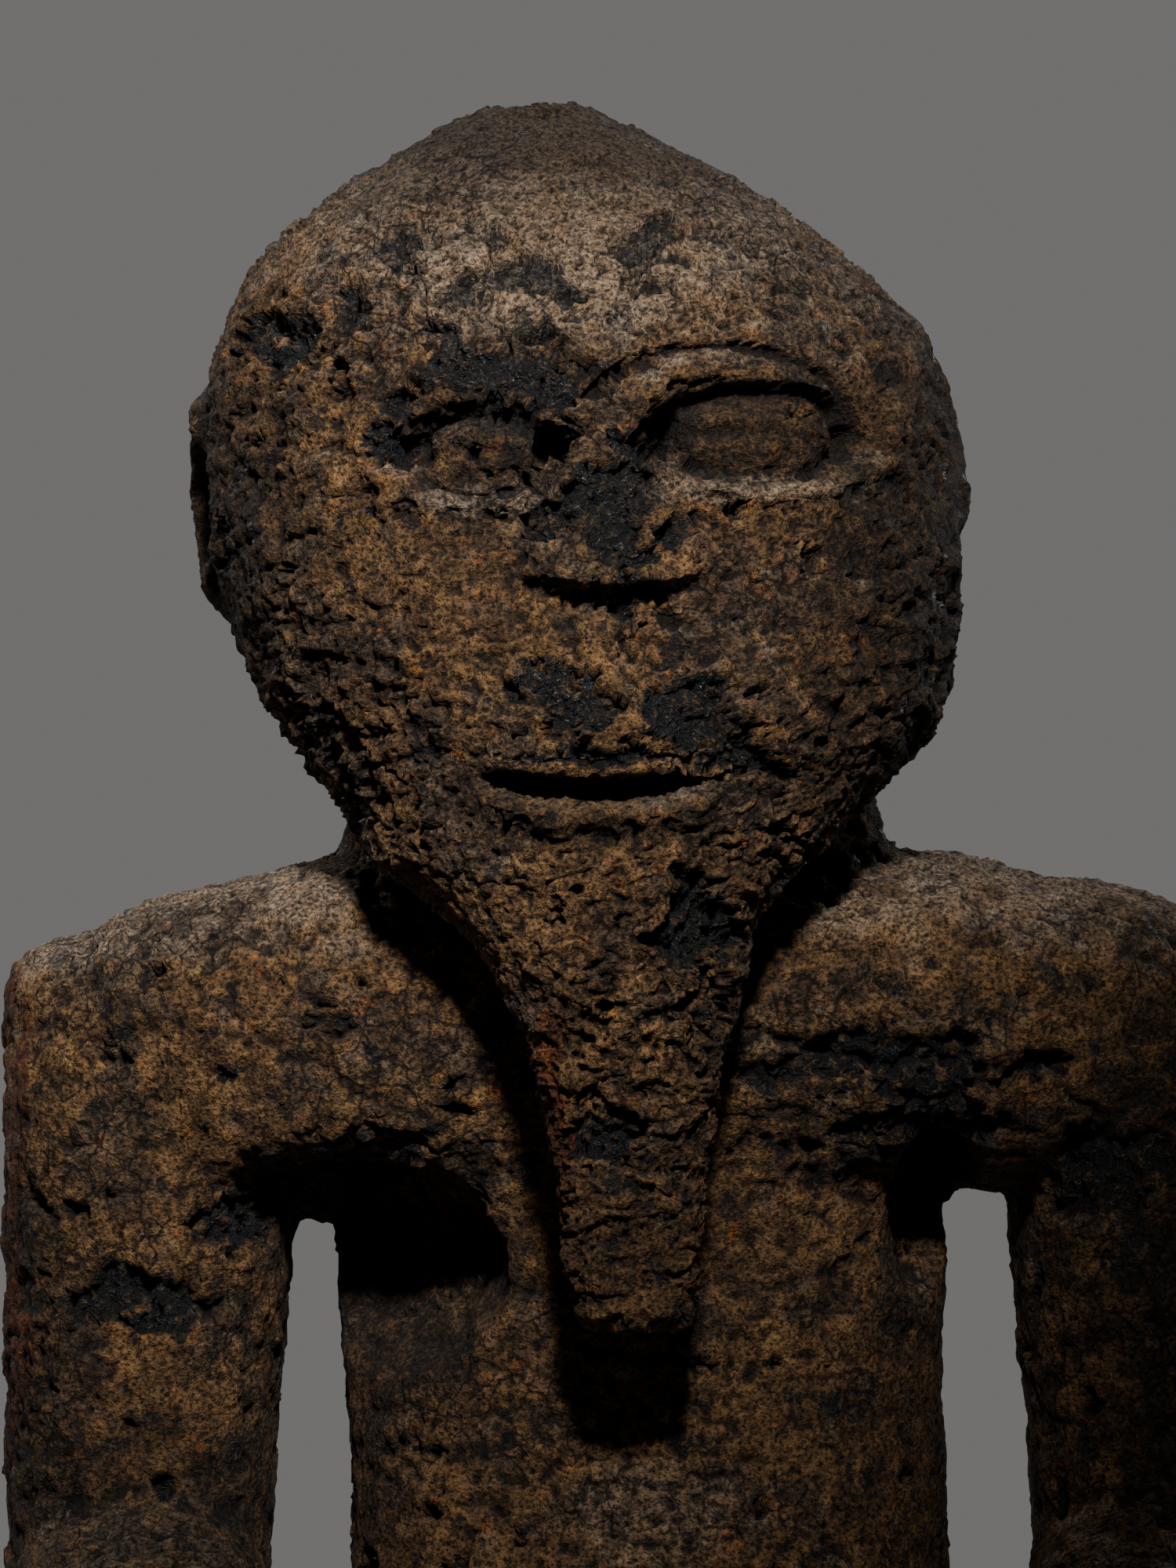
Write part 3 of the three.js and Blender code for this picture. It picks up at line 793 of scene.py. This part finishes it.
def crack_depth(points, normals):
    """Long cracks: the distance from each one's line, shaken by noise, falls off as a bell."""
    flat = points[:, [0, 2]] + 2.2 * np.stack([waves(points, 6, 11, 3), waves(points, 6, 12, 3)], -1)
    deepest = np.zeros(len(points))
    for depth, wide, line in CRACKS:
        for start, end in zip(line[:-1], line[1:]):
            start, end = np.array(start), np.array(end)
            run = end - start
            t = np.clip(((flat - start) @ run) / (run @ run), 0, 1)
            off = np.linalg.norm(flat - start - t[:, None] * run, axis=1)
            deepest = np.maximum(deepest, depth * bell(off / wide))
    return deepest * ramp(0.1, -0.3, normals[:, 1])


def domes(points, size, seed):
    """Round knobs strewn one to a cell: a half minus the squared distance to the nearest one."""
    near, second, owner = cell_distances(points, size, seed)
    return 0.5 - near ** 2, second - near, owner


def ledges(points, size, seed, octaves, edge):
    """Ragged plateaus with a cliff round them: noise through a steep step."""
    return ramp(-edge, edge, waves(points, size, seed, octaves))


def crust_zones(points, normals, ragged):
    """Numbers from 0 to 1 at each point: how rough and how coarse the crust is there, and how much of
    it is blisters, plates and tiers."""
    x, y, z = points.T
    facing = ramp(0.3, -0.2, normals[:, 1])
    head = ramp(440, 456, z)
    turned = np.abs(normals[:, 0])
    beard = ramp(-52, -58, y) * ramp(34, 24, np.abs(x + 4)) * ramp(450, 436, z)
    body = ramp(444, 432, z) * (1 - beard)
    calm = facing * placed_marks(CALM_PLACES, x, z, ragged)
    calm = np.maximum(calm, 0.25 * head * facing)
    calm = np.maximum(calm, body * (0.5 + 0.35 * waves(points, 30, 97)))
    for side, ear in EARS.items():
        reach = np.hypot((y - ear["y"]) / ear["width"], (z - ear["z"]) / ear["height"]) / 1.5
        beside = ramp(1.15, 0.85, reach) * ramp(0.3, 0.7, side * normals[:, 0])
        calm = np.maximum(calm, 0.85 * beside)
    coarse = facing * placed_marks(COARSE_PLACES, x, z, ragged)
    flank = ramp(0.45, 0.85, turned) * head * ramp(70, 20, y) * (1 - facing)
    blisters = np.maximum(facing * placed_marks(BLISTER_PLACES, x, z, ragged), 0.6 * flank) * (1 - calm)
    plates = facing * placed_marks(PLATE_PLACES, x, z, ragged)
    plates = np.maximum(plates, 0.5 * (1 - head) * ramp(0, 0.3, waves(points, 32, 61)))
    rough = (1 - np.clip(calm, 0, 1)) * (1 - 0.45 * ramp(0.75, 0.97, turned))
    tiers = facing * ramp(0.9, 0.6, turned) * ramp(0.0, 0.5, waves(points, 17, 96))
    return rough, coarse, blisters, plates, tiers


def crust_height(points, normals):
    """Millimetres of crust over the bare carving: broad lumps, plateaus with ragged cliffs, knobs
    as domes round strewn points, pits, plates between cracks, blisters between creases, tiers that
    overhang, and a step down to faceted tar where the crust is lost."""
    z = points[:, 2]
    ragged = waves(points, RAGGED_WIDTH, 101, 3)
    rough, coarse, blisters, plates, tiers = crust_zones(points, normals, ragged)
    shaken = shaken_by(points, 1.5, 31, 2)
    height = 0.8 * rough * waves(points, 26, 21, 2) + 0.5 * waves(points, 12, 28, 2)
    height += 1.1 * rough * ledges(shaken, 15, 22, 3, 0.05)
    height += 0.7 * rough * ledges(shaken * [1, 1, 1.4], 7, 23, 3, 0.07)
    height += (0.45 + 0.5 * coarse) * rough * waves(shaken * [1, 1, 1.35], 8, 24, 4, True, 0.62)
    height -= 1.7 * rough * ramp(0.42, 0.56, waves(shaken * [1, 1, 1.6], 7, 25, 3))
    _, gap, owner = domes(shaken * [1, 1, 0.8], BLISTER_WIDTH, 41)
    height += blisters * (ramp(0.0, 0.45, gap) ** 0.7 + 0.7 * owner - 1.0)
    knob, _, owner = domes(shaken * [1, 1, 1.3], KNOB_WIDTH, 71)
    height += (0.25 + 0.45 * coarse) * rough * knob
    height -= 1.2 * rough * ramp(0.38, 0.46, knob) * (owner > 0.9)
    height += (0.38 + 0.12 * rough) * domes(points * [1, 1, 1.2], BEAD_WIDTH, 75)[0]
    gap, owner = plate_cells(points, plates > 0.02)
    height -= 1.4 * plates * ramp(0.16, 0.04, gap)
    height += 2.4 * plates * (owner - 0.5)
    lumps = ledges(shaken * [0.6, 0.6, 1.2], LUMP_WIDTH, 91, 2, 0.12)
    height += 2.2 * coarse * ramp(455, 462, z) * (lumps - 0.5)
    phase = z / TIER_HEIGHT + 1.5 * waves(points * [0.7, 0.7, 1], 13, 95, 2)
    step = phase - np.floor(phase)
    height += 1.1 * rough * tiers * (np.minimum(step / 0.1, 1) * (1 - step))
    height += (0.25 + 0.3 * rough) * ledges(shaken * [1, 1, 1.3], CHIP_WIDTH, 27, 2, 0.1)
    height += 0.2 * waves(points, GRIT_WIDTH, 81)
    lost = crust_lost(points, normals, ragged)
    facets = waves(shaken, FACET_WIDTH, 98, 4, True, 0.6) + 0.5 * ledges(shaken, 4, 99, 2, 0.08)
    height = height * (1 - 0.6 * lost) + (1.9 * facets - 2.8) * lost
    return height - crack_depth(points, normals) - CRUST_SUNK


def mark(mesh, name, values):
    """Keeps one number from 0 to 1 for each point of the mesh, which the material reads."""
    layer = mesh.attributes.new(name, "FLOAT", "POINT")
    layer.data.foreach_set("value", np.clip(values, 0, 1).astype(np.float32))


def mark_surface(mesh, shift):
    """Writes where tar shows, where dust lies with painted highlight in the pale places, where a point
    is sunk (dirt and painted shade) or worn (wear and painted highlight), where film and painted shade
    lie, and bare wood.
    """
    points, normals = points_and_normals(mesh)
    points = points / MM - shift
    edges = edges_of(mesh)
    x, _, z = points.T
    sunk = ((blurred(points, edges, 5) - points) * normals).sum(axis=1)
    broad_up = blurred(normals, edges, 6)[:, 2]
    fine_up = blurred(normals, edges, 1)[:, 2]
    ragged = waves(points, RAGGED_WIDTH, 101, 3)
    facing = ramp(0.6, 0.1, normals[:, 1])
    mark(mesh, "tar", crust_lost(points, normals, ragged))
    # Sunk points are darkened as dirt and painted shade in the hollows
    mark(mesh, "hollow", ramp(0.04, 0.6, sunk))
    # Points that stand out are lightened as wear and painted highlight on the ridges
    mark(mesh, "ridge", ramp(0.05, 0.55, -sunk))
    lying = ramp(0.35, 0.95, np.maximum(broad_up, fine_up - 0.12) + 0.3 * ragged)
    # The named places darken the crust as a dark film and as painted shade on the right side of the
    # head, the arms, the armpits and the crown
    film = facing * placed_marks(DARK_FILM_AND_SHADE, x, z, ragged)
    # Dust lies on what faces up, and the pale places add painted highlight on the forehead and the
    # shelves under the eyes
    mark(mesh, "dust", np.maximum(lying * (1 - film), facing * placed_marks(PALE_DUST_AND_HIGHLIGHT, x, z, ragged)))
    mark(mesh, "film", film)
    arm = ramp(-128, -137, x) * ramp(270, 300, z) * ramp(432, 405, z)
    beard = ramp(-12, -18, x) * ramp(420, 400, z) * ramp(338, 346, z)
    beard *= ramp(-58, -64, points[:, 1])
    streaks = waves(points * [1, 1, 0.22], 6, 111, 3)
    mark(mesh, "bare", ramp(0.42, 0.75, np.maximum(arm, beard * 0.85) * 0.8 + streaks * 0.5))


# Materials

ADD = ("Math", {"operation": "ADD"})
TAKE = ("Math", {"operation": "SUBTRACT"})
TIMES = ("Math", {"operation": "MULTIPLY"})
LARGER = ("Math", {"operation": "MAXIMUM"})
RANGE = ("MapRange", {})
MIX = ("Mix", {"data_type": "RGBA"})
TINT = ("Mix", {"data_type": "RGBA", "blend_type": "MULTIPLY"})


def add_node(tree, kept, name, kind, settings, inputs, output=0):
    """Adds a node with its settings, and keeps one of its outputs under a name. Inputs come by name
    or in their order. Each is a value, or the name of an output that is kept already."""
    node = tree.nodes.new("ShaderNode" + kind)
    stops = settings.get("stops", [])
    for _ in stops[2:]:
        node.color_ramp.elements.new(1.0)
    for i, (place, colour) in enumerate(stops):
        node.color_ramp.elements[i].position = place
        node.color_ramp.elements[i].color = linear(colour) if isinstance(colour, str) else colour
    for key, value in settings.items():
        if key != "stops":
            setattr(node, key, value)
    for key, value in inputs.items() if isinstance(inputs, dict) else enumerate(inputs):
        if isinstance(value, str):
            tree.links.new(kept[value], node.inputs[key])
        else:
            node.inputs[key].default_value = value
    if node.outputs:
        kept[name] = node.outputs[output]


def crusted_wood(colours):
    """Earth crust over tarry wood: ochre to umber grains that are wholly matt, dark patches with a dull
    shine where the crust is gone, their tones lifted towards blue-grey as a painted sheen, rust-red
    bare wood, and grey dust on what faces up. Painted shade darkens the hollows, the pits of the bump,
    the places of film and shade and the crown, and painted highlight lightens the ridges and the pale
    dust places."""
    material = bpy.data.materials.new(CRUST)
    material.use_nodes = True
    tree = material.node_tree
    tree.nodes.clear()
    steps = [("place", "TexCoord", {}, {}, "Object")]
    for name in ("tar", "hollow", "ridge", "dust", "film", "bare"):
        steps.append((name, "Attribute", {"attribute_name": name}, {}, "Fac"))
    steps.append(("upright", "Mapping", {}, {"Vector": "place", "Scale": (1, 1, 0.15)}))
    # Each noise is the width of its cells in millimetres, its detail and its roughness. Grains under
    # 1 mm wide are too fine for the render, so none is drawn finer than that
    for name, size, detail, rough in (
        ("broad", 34, 3, 0.6),
        ("zone", 13, 3, 0.6),
        ("loose", 11, 5, 0.68),
        ("medium", 7, 3, 0.6),
        ("spot", 5, 4, 0.75),
        ("streaks", 5, 3, 0.6),
        ("drift", 4, 2, 0.5),
        ("pale", 3, 4, 0.74),
        ("fine", 1.1, 3, 0.7),
        ("pitted", 1.0, 3, 0.72),
    ):
        place = "upright" if name == "streaks" else "place"
        inputs = {"Vector": place, "Scale": 1 / (size * MM), "Detail": detail, "Roughness": rough}
        steps.append((name, "TexNoise", {}, inputs, "Color" if name == "drift" else 0))
    steps += [
        ("height", "SeparateXYZ", {}, {"Vector": "place"}, "Z"),
        # Ochre and umber lie in broad zones, umber more often on the head
        ("medium_part", *TIMES, ("medium", 0.6)),
        ("fine_part", *TIMES, ("fine", 0.4)),
        ("tone", *ADD, ("medium_part", "fine_part")),
        ("on_head", *RANGE, ("height", 0.435, 0.46, 0.0, 0.05)),
        ("zones", *ADD, ("broad", "zone")),
        ("all_zones", *ADD, ("zones", "on_head")),
        ("umber_share", *RANGE, ("all_zones", 1.0, 1.1)),
        ("rust_share", *RANGE, ("spot", 0.6, 0.7, 0.0, 0.7)),
        # Tar and bare wood in their places have ragged edges, and tar lies in loose patches too
        ("about_nought", *TAKE, ("pale", 0.5)),
        ("ragged", *TIMES, ("about_nought", 0.9)),
        ("ragged_tar", *ADD, ("tar", "ragged")),
        ("placed_tar", *RANGE, ("ragged_tar", 0.42, 0.58)),
        ("loose_tar", *RANGE, ("loose", 0.6, 0.63, 0.0, 0.85)),
        ("tar_share", *LARGER, ("placed_tar", "loose_tar")),
        ("ragged_bare", *ADD, ("bare", "ragged")),
        ("bare_share", *RANGE, ("ragged_bare", 0.5, 0.75, 0.0, 0.85)),
        # Ridges are rubbed and lightened as painted highlight, dust keeps off tar, and the film and
        # painted shade let a little through
        ("rubbed", *RANGE, ("pale", 0.5, 0.6, 0.0, 0.35)),
        ("worn_share", *TIMES, ("ridge", "rubbed")),
        ("uneven", *RANGE, ("pale", 0.36, 0.6, 0.4, 1.0)),
        ("off_tar", *RANGE, ("tar_share", 0.0, 1.0, 1.0, 0.35)),
        ("uneven_dust", *TIMES, ("dust", "uneven")),
        ("lying", *TIMES, ("uneven_dust", "off_tar")),
        # Dust, and painted highlight in the pale places
        ("dust_share", *TIMES, ("lying", 0.75)),
        # Painted shade and dirt darken the hollows
        ("dark_share", *TIMES, ("hollow", 0.9)),
        ("thin", *RANGE, ("pale", 0.36, 0.6, 1.0, 0.65)),
        ("film_share", *TIMES, ("film", "thin")),
        # Painted shade darkens the crown
        ("soot_share", *RANGE, ("height", 0.566, 0.59, 0.0, 0.9)),
        # Hair cracks run round plates of about 7 mm, only in some zones
        ("warped", "VectorMath", {"operation": "MULTIPLY_ADD"}, ("drift", [4 * MM] * 3, "place")),
        ("edge", "TexVoronoi", {"feature": "DISTANCE_TO_EDGE"},
         {"Vector": "warped", "Scale": 1 / (7 * MM)}, "Distance"),
        ("inside", *RANGE, ("edge", 0.0, 0.06)),
        ("uncracked", *RANGE, ("broad", 0.54, 0.5)),
        ("whole", *LARGER, ("inside", "uncracked")),
    ]
    stops = ((0.3, "#2c1f12"), (0.5, colours.earth), (0.7, "#81603d"))
    steps.append(("colour", "ValToRGB", {"stops": stops}, ("tone",)))
    # Each layer of colour: how it goes on, how much of it shows, what its colours follow, and the
    # colours from low to high
    for way, share, follows, *stops in (
        (MIX, "umber_share", "tone", (0.3, "#1e1710"), (0.5, colours.umber), (0.7, "#675542")),
        (MIX, "rust_share", "medium", (0.35, "#63300f"), (0.6, "#a0581b")),
        # Tar, its high end lifted to blue-grey as a painted sheen
        (MIX, "tar_share", "fine", (0.38, "#040405"), (0.5, colours.tar), (0.64, "#26282b")),
        (MIX, "bare_share", "streaks", (0.3, "#1f100a"), (0.5, "#52260f"), (0.7, "#80431f")),
        # Wear and painted highlight on the ridges
        (MIX, "worn_share", "medium", (0.3, "#7a5428"), (0.7, "#98723c")),
        # Dust, with painted highlight in the pale places
        (MIX, "dust_share", "fine", (0.35, "#564a3d"), (0.65, colours.dust)),
        # Dirt and painted shade in the hollows
        (MIX, "dark_share", "fine", (0.0, "#050403"), (1.0, "#0d0a08")),
        # A dark film, and painted shade on the right side of the head, the arms, the armpits and the
        # crown
        (MIX, "film_share", "fine", (0.36, "#080606"), (0.5, "#130f0b"), (0.64, "#271e15")),
        # Painted shade on the crown
        (MIX, "soot_share", "fine", (0.3, "#1a130d"), (0.7, "#46392c")),
        # Darker where the bump sinks: grain colour with painted shade in its pits
        (TINT, 1.0, "pitted", (0.36, "#505050"), (0.46, "#b4b4b4"), (0.56, "#ffffff")),
        (TINT, 1.0, "whole", (0.0, "#544c46"), (1.0, "#ffffff")),
    ):
        steps.append(("layer", "ValToRGB", {"stops": stops}, (follows,)))
        steps.append(("colour", *way, {0: share, 6: "colour", 7: "layer"}, 2))
    steps += [
        # A dull shine on tar that no dust covers
        ("clean", *TAKE, (1.0, "lying")),
        ("shine", *TIMES, ("tar_share", "clean")),
        ("shine_grain", *RANGE, ("fine", 0.3, 0.6)),
        ("glossy", *TIMES, ("shine", "shine_grain")),
        ("roughness", *RANGE, ("glossy", 0.0, 1.0, 1.0, 0.26)),
        # The finest grains stand out by the bump alone, because the mesh can't hold them
        ("knobs", "TexVoronoi", {}, {"Vector": "place", "Scale": 1 / (2.2 * MM)}, "Distance"),
        ("fine_relief", *TIMES, ("fine", 0.5)),
        ("knob_relief", *TIMES, ("knobs", 0.4)),
        ("grainy", *ADD, ("pitted", "fine_relief")),
        ("relief", *TAKE, ("grainy", "knob_relief")),
        ("normal", "Bump", {}, {"Strength": 1.0, "Distance": 1.5 * MM, "Height": "relief"}),
        ("shader", "BsdfPrincipled", {}, {
            "IOR": 1.45, "Metallic": 0.0, "Base Color": "colour", "Roughness": "roughness",
            "Specular IOR Level": 0.2, "Normal": "normal"}),
        ("surface", "OutputMaterial", {}, {"Surface": "shader"}),
    ]
    kept = {}
    for step in steps:
        add_node(tree, kept, *step)
    return material


def plain_floor():
    """Matt pale card, which gives a soft even bounce from below."""
    material = bpy.data.materials.new("pale_matt_card")
    material.use_nodes = True
    shader = material.node_tree.nodes["Principled BSDF"]
    shader.inputs["Base Color"].default_value = linear("#cfcbc4")
    shader.inputs["Roughness"].default_value = 0.9
    return material


# What a user can change

class FigureSizes(bpy.types.PropertyGroup):
    """Sizes of the figure's surface."""
    grid: bpy.props.FloatProperty(
        name="Surface grid", description="Width of one cell of the joined surface",
        default=1.2 * MM, min=1 * MM, max=6 * MM, unit="LENGTH", precision=5)
    quick_grid: bpy.props.FloatProperty(
        name="Quick grid", description="Width of one cell in a quick try",
        default=1.8 * MM, min=1 * MM, max=6 * MM, unit="LENGTH", precision=5)
    crust: bpy.props.FloatProperty(
        name="Crust relief", description="How strongly the crust's lumps and pits stand out",
        default=1.0, min=0.0, max=1.5)
    triangles: bpy.props.IntProperty(
        name="Triangles", description="The most triangles that the finished surface has",
        default=196000, min=20000, max=199000)


def tone(name, description, colour):
    return bpy.props.FloatVectorProperty(
        name=name, description=description, default=linear(colour), size=4, min=0.0, max=1.0,
        subtype="COLOR")


class FigureColours(bpy.types.PropertyGroup):
    """Colours of the crust, of the tar under it and of the dust on it, which also gives the painted
    highlight in the pale places.
    """
    earth: tone("Earth crust", "Middle tone of the ochre crust", "#594129")
    umber: tone("Umber crust", "Middle tone of the darker crust", "#403124")
    # The tar's middle tone is lifted a little above black as a painted sheen
    tar: tone("Tar", "Middle tone of the tarry wood where the crust is gone", "#0d0e10")
    dust: tone("Dust", "Palest tone of the dust that lies on top", "#9d8b76")


def placed_shift():
    """The carving's own origin against the frame's, in millimetres."""
    return np.array([0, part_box(NODE)[1].y / MM - HEAD_BACK, 0])


def soften(mesh, rounds):
    """Rounds the joins between forms by moving each point to its neighbours' mean."""
    points, _ = points_and_normals(mesh)
    edges = edges_of(mesh)
    for _ in range(rounds):
        points = points + (neighbour_mean(points, edges) - points) * 0.6
    set_points(mesh, points)


def lay_crust(mesh, shift, strength):
    """Moves each point along its normal by the crust's height, and keeps the underside flat."""
    points, normals = points_and_normals(mesh)
    local = points / MM - shift
    height = crust_height(local, normals) * strength * ramp(1.0, 8.0, local[:, 2])
    set_points(mesh, points + normals * height[:, None] * MM)


def closed_surface(forms):
    """Points and triangles of all the forms together, each form a closed shell."""
    points, faces, count = [], [], 0
    for rings in forms:
        form_points, form_faces = shell(rings)
        points.append(form_points)
        faces.append(form_faces + count)
        count += len(form_points)
    return np.concatenate(points), np.concatenate(faces)


def carve(context, name, forms):
    """One crusted surface round the forms, which says what part of the frame it stands for. Several
    forms are joined on an even grid, with the joins softened."""
    sizes = context.scene.figure_sizes
    shift = placed_shift()
    points, faces = closed_surface(forms)
    piece = bpy.data.objects.new(name, mesh_of(name, (points + shift) * MM, faces))
    context.collection.objects.link(piece)
    if len(forms) > 1:
        grid = sizes.grid
        with_modifier(piece, "REMESH", mode="VOXEL", voxel_size=grid, adaptivity=0.0)
        soften(piece.data, JOIN_ROUNDS)
    lay_crust(piece.data, shift, sizes.crust)
    triangles = sum(len(face.vertices) - 2 for face in piece.data.polygons)
    if triangles > sizes.triangles:
        with_modifier(piece, "DECIMATE", ratio=sizes.triangles / triangles)
    if not len(piece.data.polygons):
        raise RuntimeError(piece.name + " has no surface")
    mark_surface(piece.data, shift)
    material = bpy.data.materials.get(CRUST) or crusted_wood(context.scene.figure_colours)
    piece.data.materials.append(material)
    piece.data.shade_smooth()
    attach(piece, BODY)
    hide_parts(NODE)
    return {"FINISHED"}


class FIGURE_OT_head(bpy.types.Operator):
    """Carves the head with its face, ears and long beard, and lays the crust on it"""
    bl_idname = "figure.head"
    bl_label = "Carve the head"

    def execute(self, context):
        steps, sides = HEAD_GRID
        return carve(context, "head_and_beard", [head_rings(steps, sides)])


class FIGURE_OT_trunk(bpy.types.Operator):
    """Carves the trunk, shoulders, arms and hands as one surface, and lays the crust on it"""
    bl_idname = "figure.trunk"
    bl_label = "Carve the trunk and arms"

    def execute(self, context):
        return carve(context, "trunk_and_arms", trunk_and_arms())


class FIGURE_OT_legs(bpy.types.Operator):
    """Carves the legs and feet on their low base, and lays the crust on them"""
    bl_idname = "figure.legs"
    bl_label = "Carve the legs and base"

    def execute(self, context):
        return carve(context, "legs_and_base", legs_and_base())


class FIGURE_OT_stage(bpy.types.Operator):
    """Adds the pale floor, soft studio light and the camera at face height"""
    bl_idname = "figure.stage"
    bl_label = "Set the stage"

    def execute(self, context):
        self.floor(context)
        self.lights(context)
        self.camera(context)
        return {"FINISHED"}

    @staticmethod
    def floor(context):
        """A flat disc, as a fan of triangles round its middle."""
        ring = np.arange(FLOOR_SIDES)
        angle = ring * 2 * math.pi / FLOOR_SIDES
        rim = FLOOR_RADIUS * np.stack([np.cos(angle), np.sin(angle), np.zeros(FLOOR_SIDES)], -1)
        points = np.concatenate([rim, [[0, 0, 0]]])
        faces = np.stack([ring, (ring + 1) % FLOOR_SIDES, np.full(FLOOR_SIDES, FLOOR_SIDES)], -1)
        floor = bpy.data.objects.new("floor", mesh_of("floor", points, faces))
        floor.data.materials.append(plain_floor())
        context.collection.objects.link(floor)

    def lights(self, context):
        world = bpy.data.worlds.new("studio")
        world.use_nodes = True
        world.node_tree.nodes.clear()
        kept = {}
        for step in (
            ("backdrop", "Background", {}, {"Color": linear(BACKDROP)}),
            ("bounce", "Background", {}, {"Color": linear(BACKDROP), "Strength": BOUNCE}),
            ("seen", "LightPath", {}, {}, "Is Camera Ray"),
            ("both", "MixShader", {}, {0: "seen", 1: "bounce", 2: "backdrop"}),
            ("surround", "OutputWorld", {}, {"Surface": "both"}),
        ):
            add_node(world.node_tree, kept, *step)
        context.scene.world = world
        for name, kind, power, place, target, settings in LAMPS:
            lamp = bpy.data.lights.new(name, kind)
            lamp.energy = power
            for key, value in settings.items():
                setattr(lamp, key, value)
            self.aimed(context, lamp, place, target)

    def camera(self, context):
        lens = bpy.data.cameras.new("camera")
        lens.sensor_fit = "AUTO"
        lens.sensor_width = SENSOR
        lens.lens = SENSOR * CAMERA_DISTANCE / VIEW_HEIGHT
        place = Vector(CAMERA_AIM) + Vector((0, -CAMERA_DISTANCE, CAMERA_RISE))
        context.scene.camera = self.aimed(context, lens, place, CAMERA_AIM)

    @staticmethod
    def aimed(context, data, place, target):
        """Puts a lamp or the camera at a place, turned towards a target."""
        item = bpy.data.objects.new(data.name, data)
        item.location = place
        item.rotation_euler = (Vector(target) - item.location).to_track_quat("-Z", "Y").to_euler()
        context.collection.objects.link(item)
        return item


class FIGURE_PT_panel(bpy.types.Panel):
    """Lists the sizes, the colours and the steps of the figure"""
    bl_idname = "FIGURE_PT_panel"
    bl_label = "Crusted power figure"
    bl_space_type = "VIEW_3D"
    bl_region_type = "UI"
    bl_category = "Figure"

    def draw(self, context):
        for name in ("grid", "quick_grid", "crust", "triangles"):
            self.layout.prop(context.scene.figure_sizes, name)
        for name in ("earth", "umber", "tar", "dust"):
            self.layout.prop(context.scene.figure_colours, name)
        for operator in (FIGURE_OT_head, FIGURE_OT_trunk, FIGURE_OT_legs, FIGURE_OT_stage):
            self.layout.operator(operator.bl_idname)


CLASSES = (
    FigureSizes, FigureColours, FIGURE_OT_head, FIGURE_OT_trunk, FIGURE_OT_legs, FIGURE_OT_stage,
    FIGURE_PT_panel)


def register():
    for item in CLASSES:
        bpy.utils.register_class(item)
    bpy.types.Scene.figure_sizes = bpy.props.PointerProperty(type=FigureSizes)
    bpy.types.Scene.figure_colours = bpy.props.PointerProperty(type=FigureColours)


def unregister():
    del bpy.types.Scene.figure_sizes
    del bpy.types.Scene.figure_colours
    for item in reversed(CLASSES):
        bpy.utils.unregister_class(item)


def main():
    register()
    bpy.ops.figure.head()
    bpy.ops.figure.trunk()
    bpy.ops.figure.legs()
    bpy.ops.figure.stage()


if __name__ == "__main__":
    main()
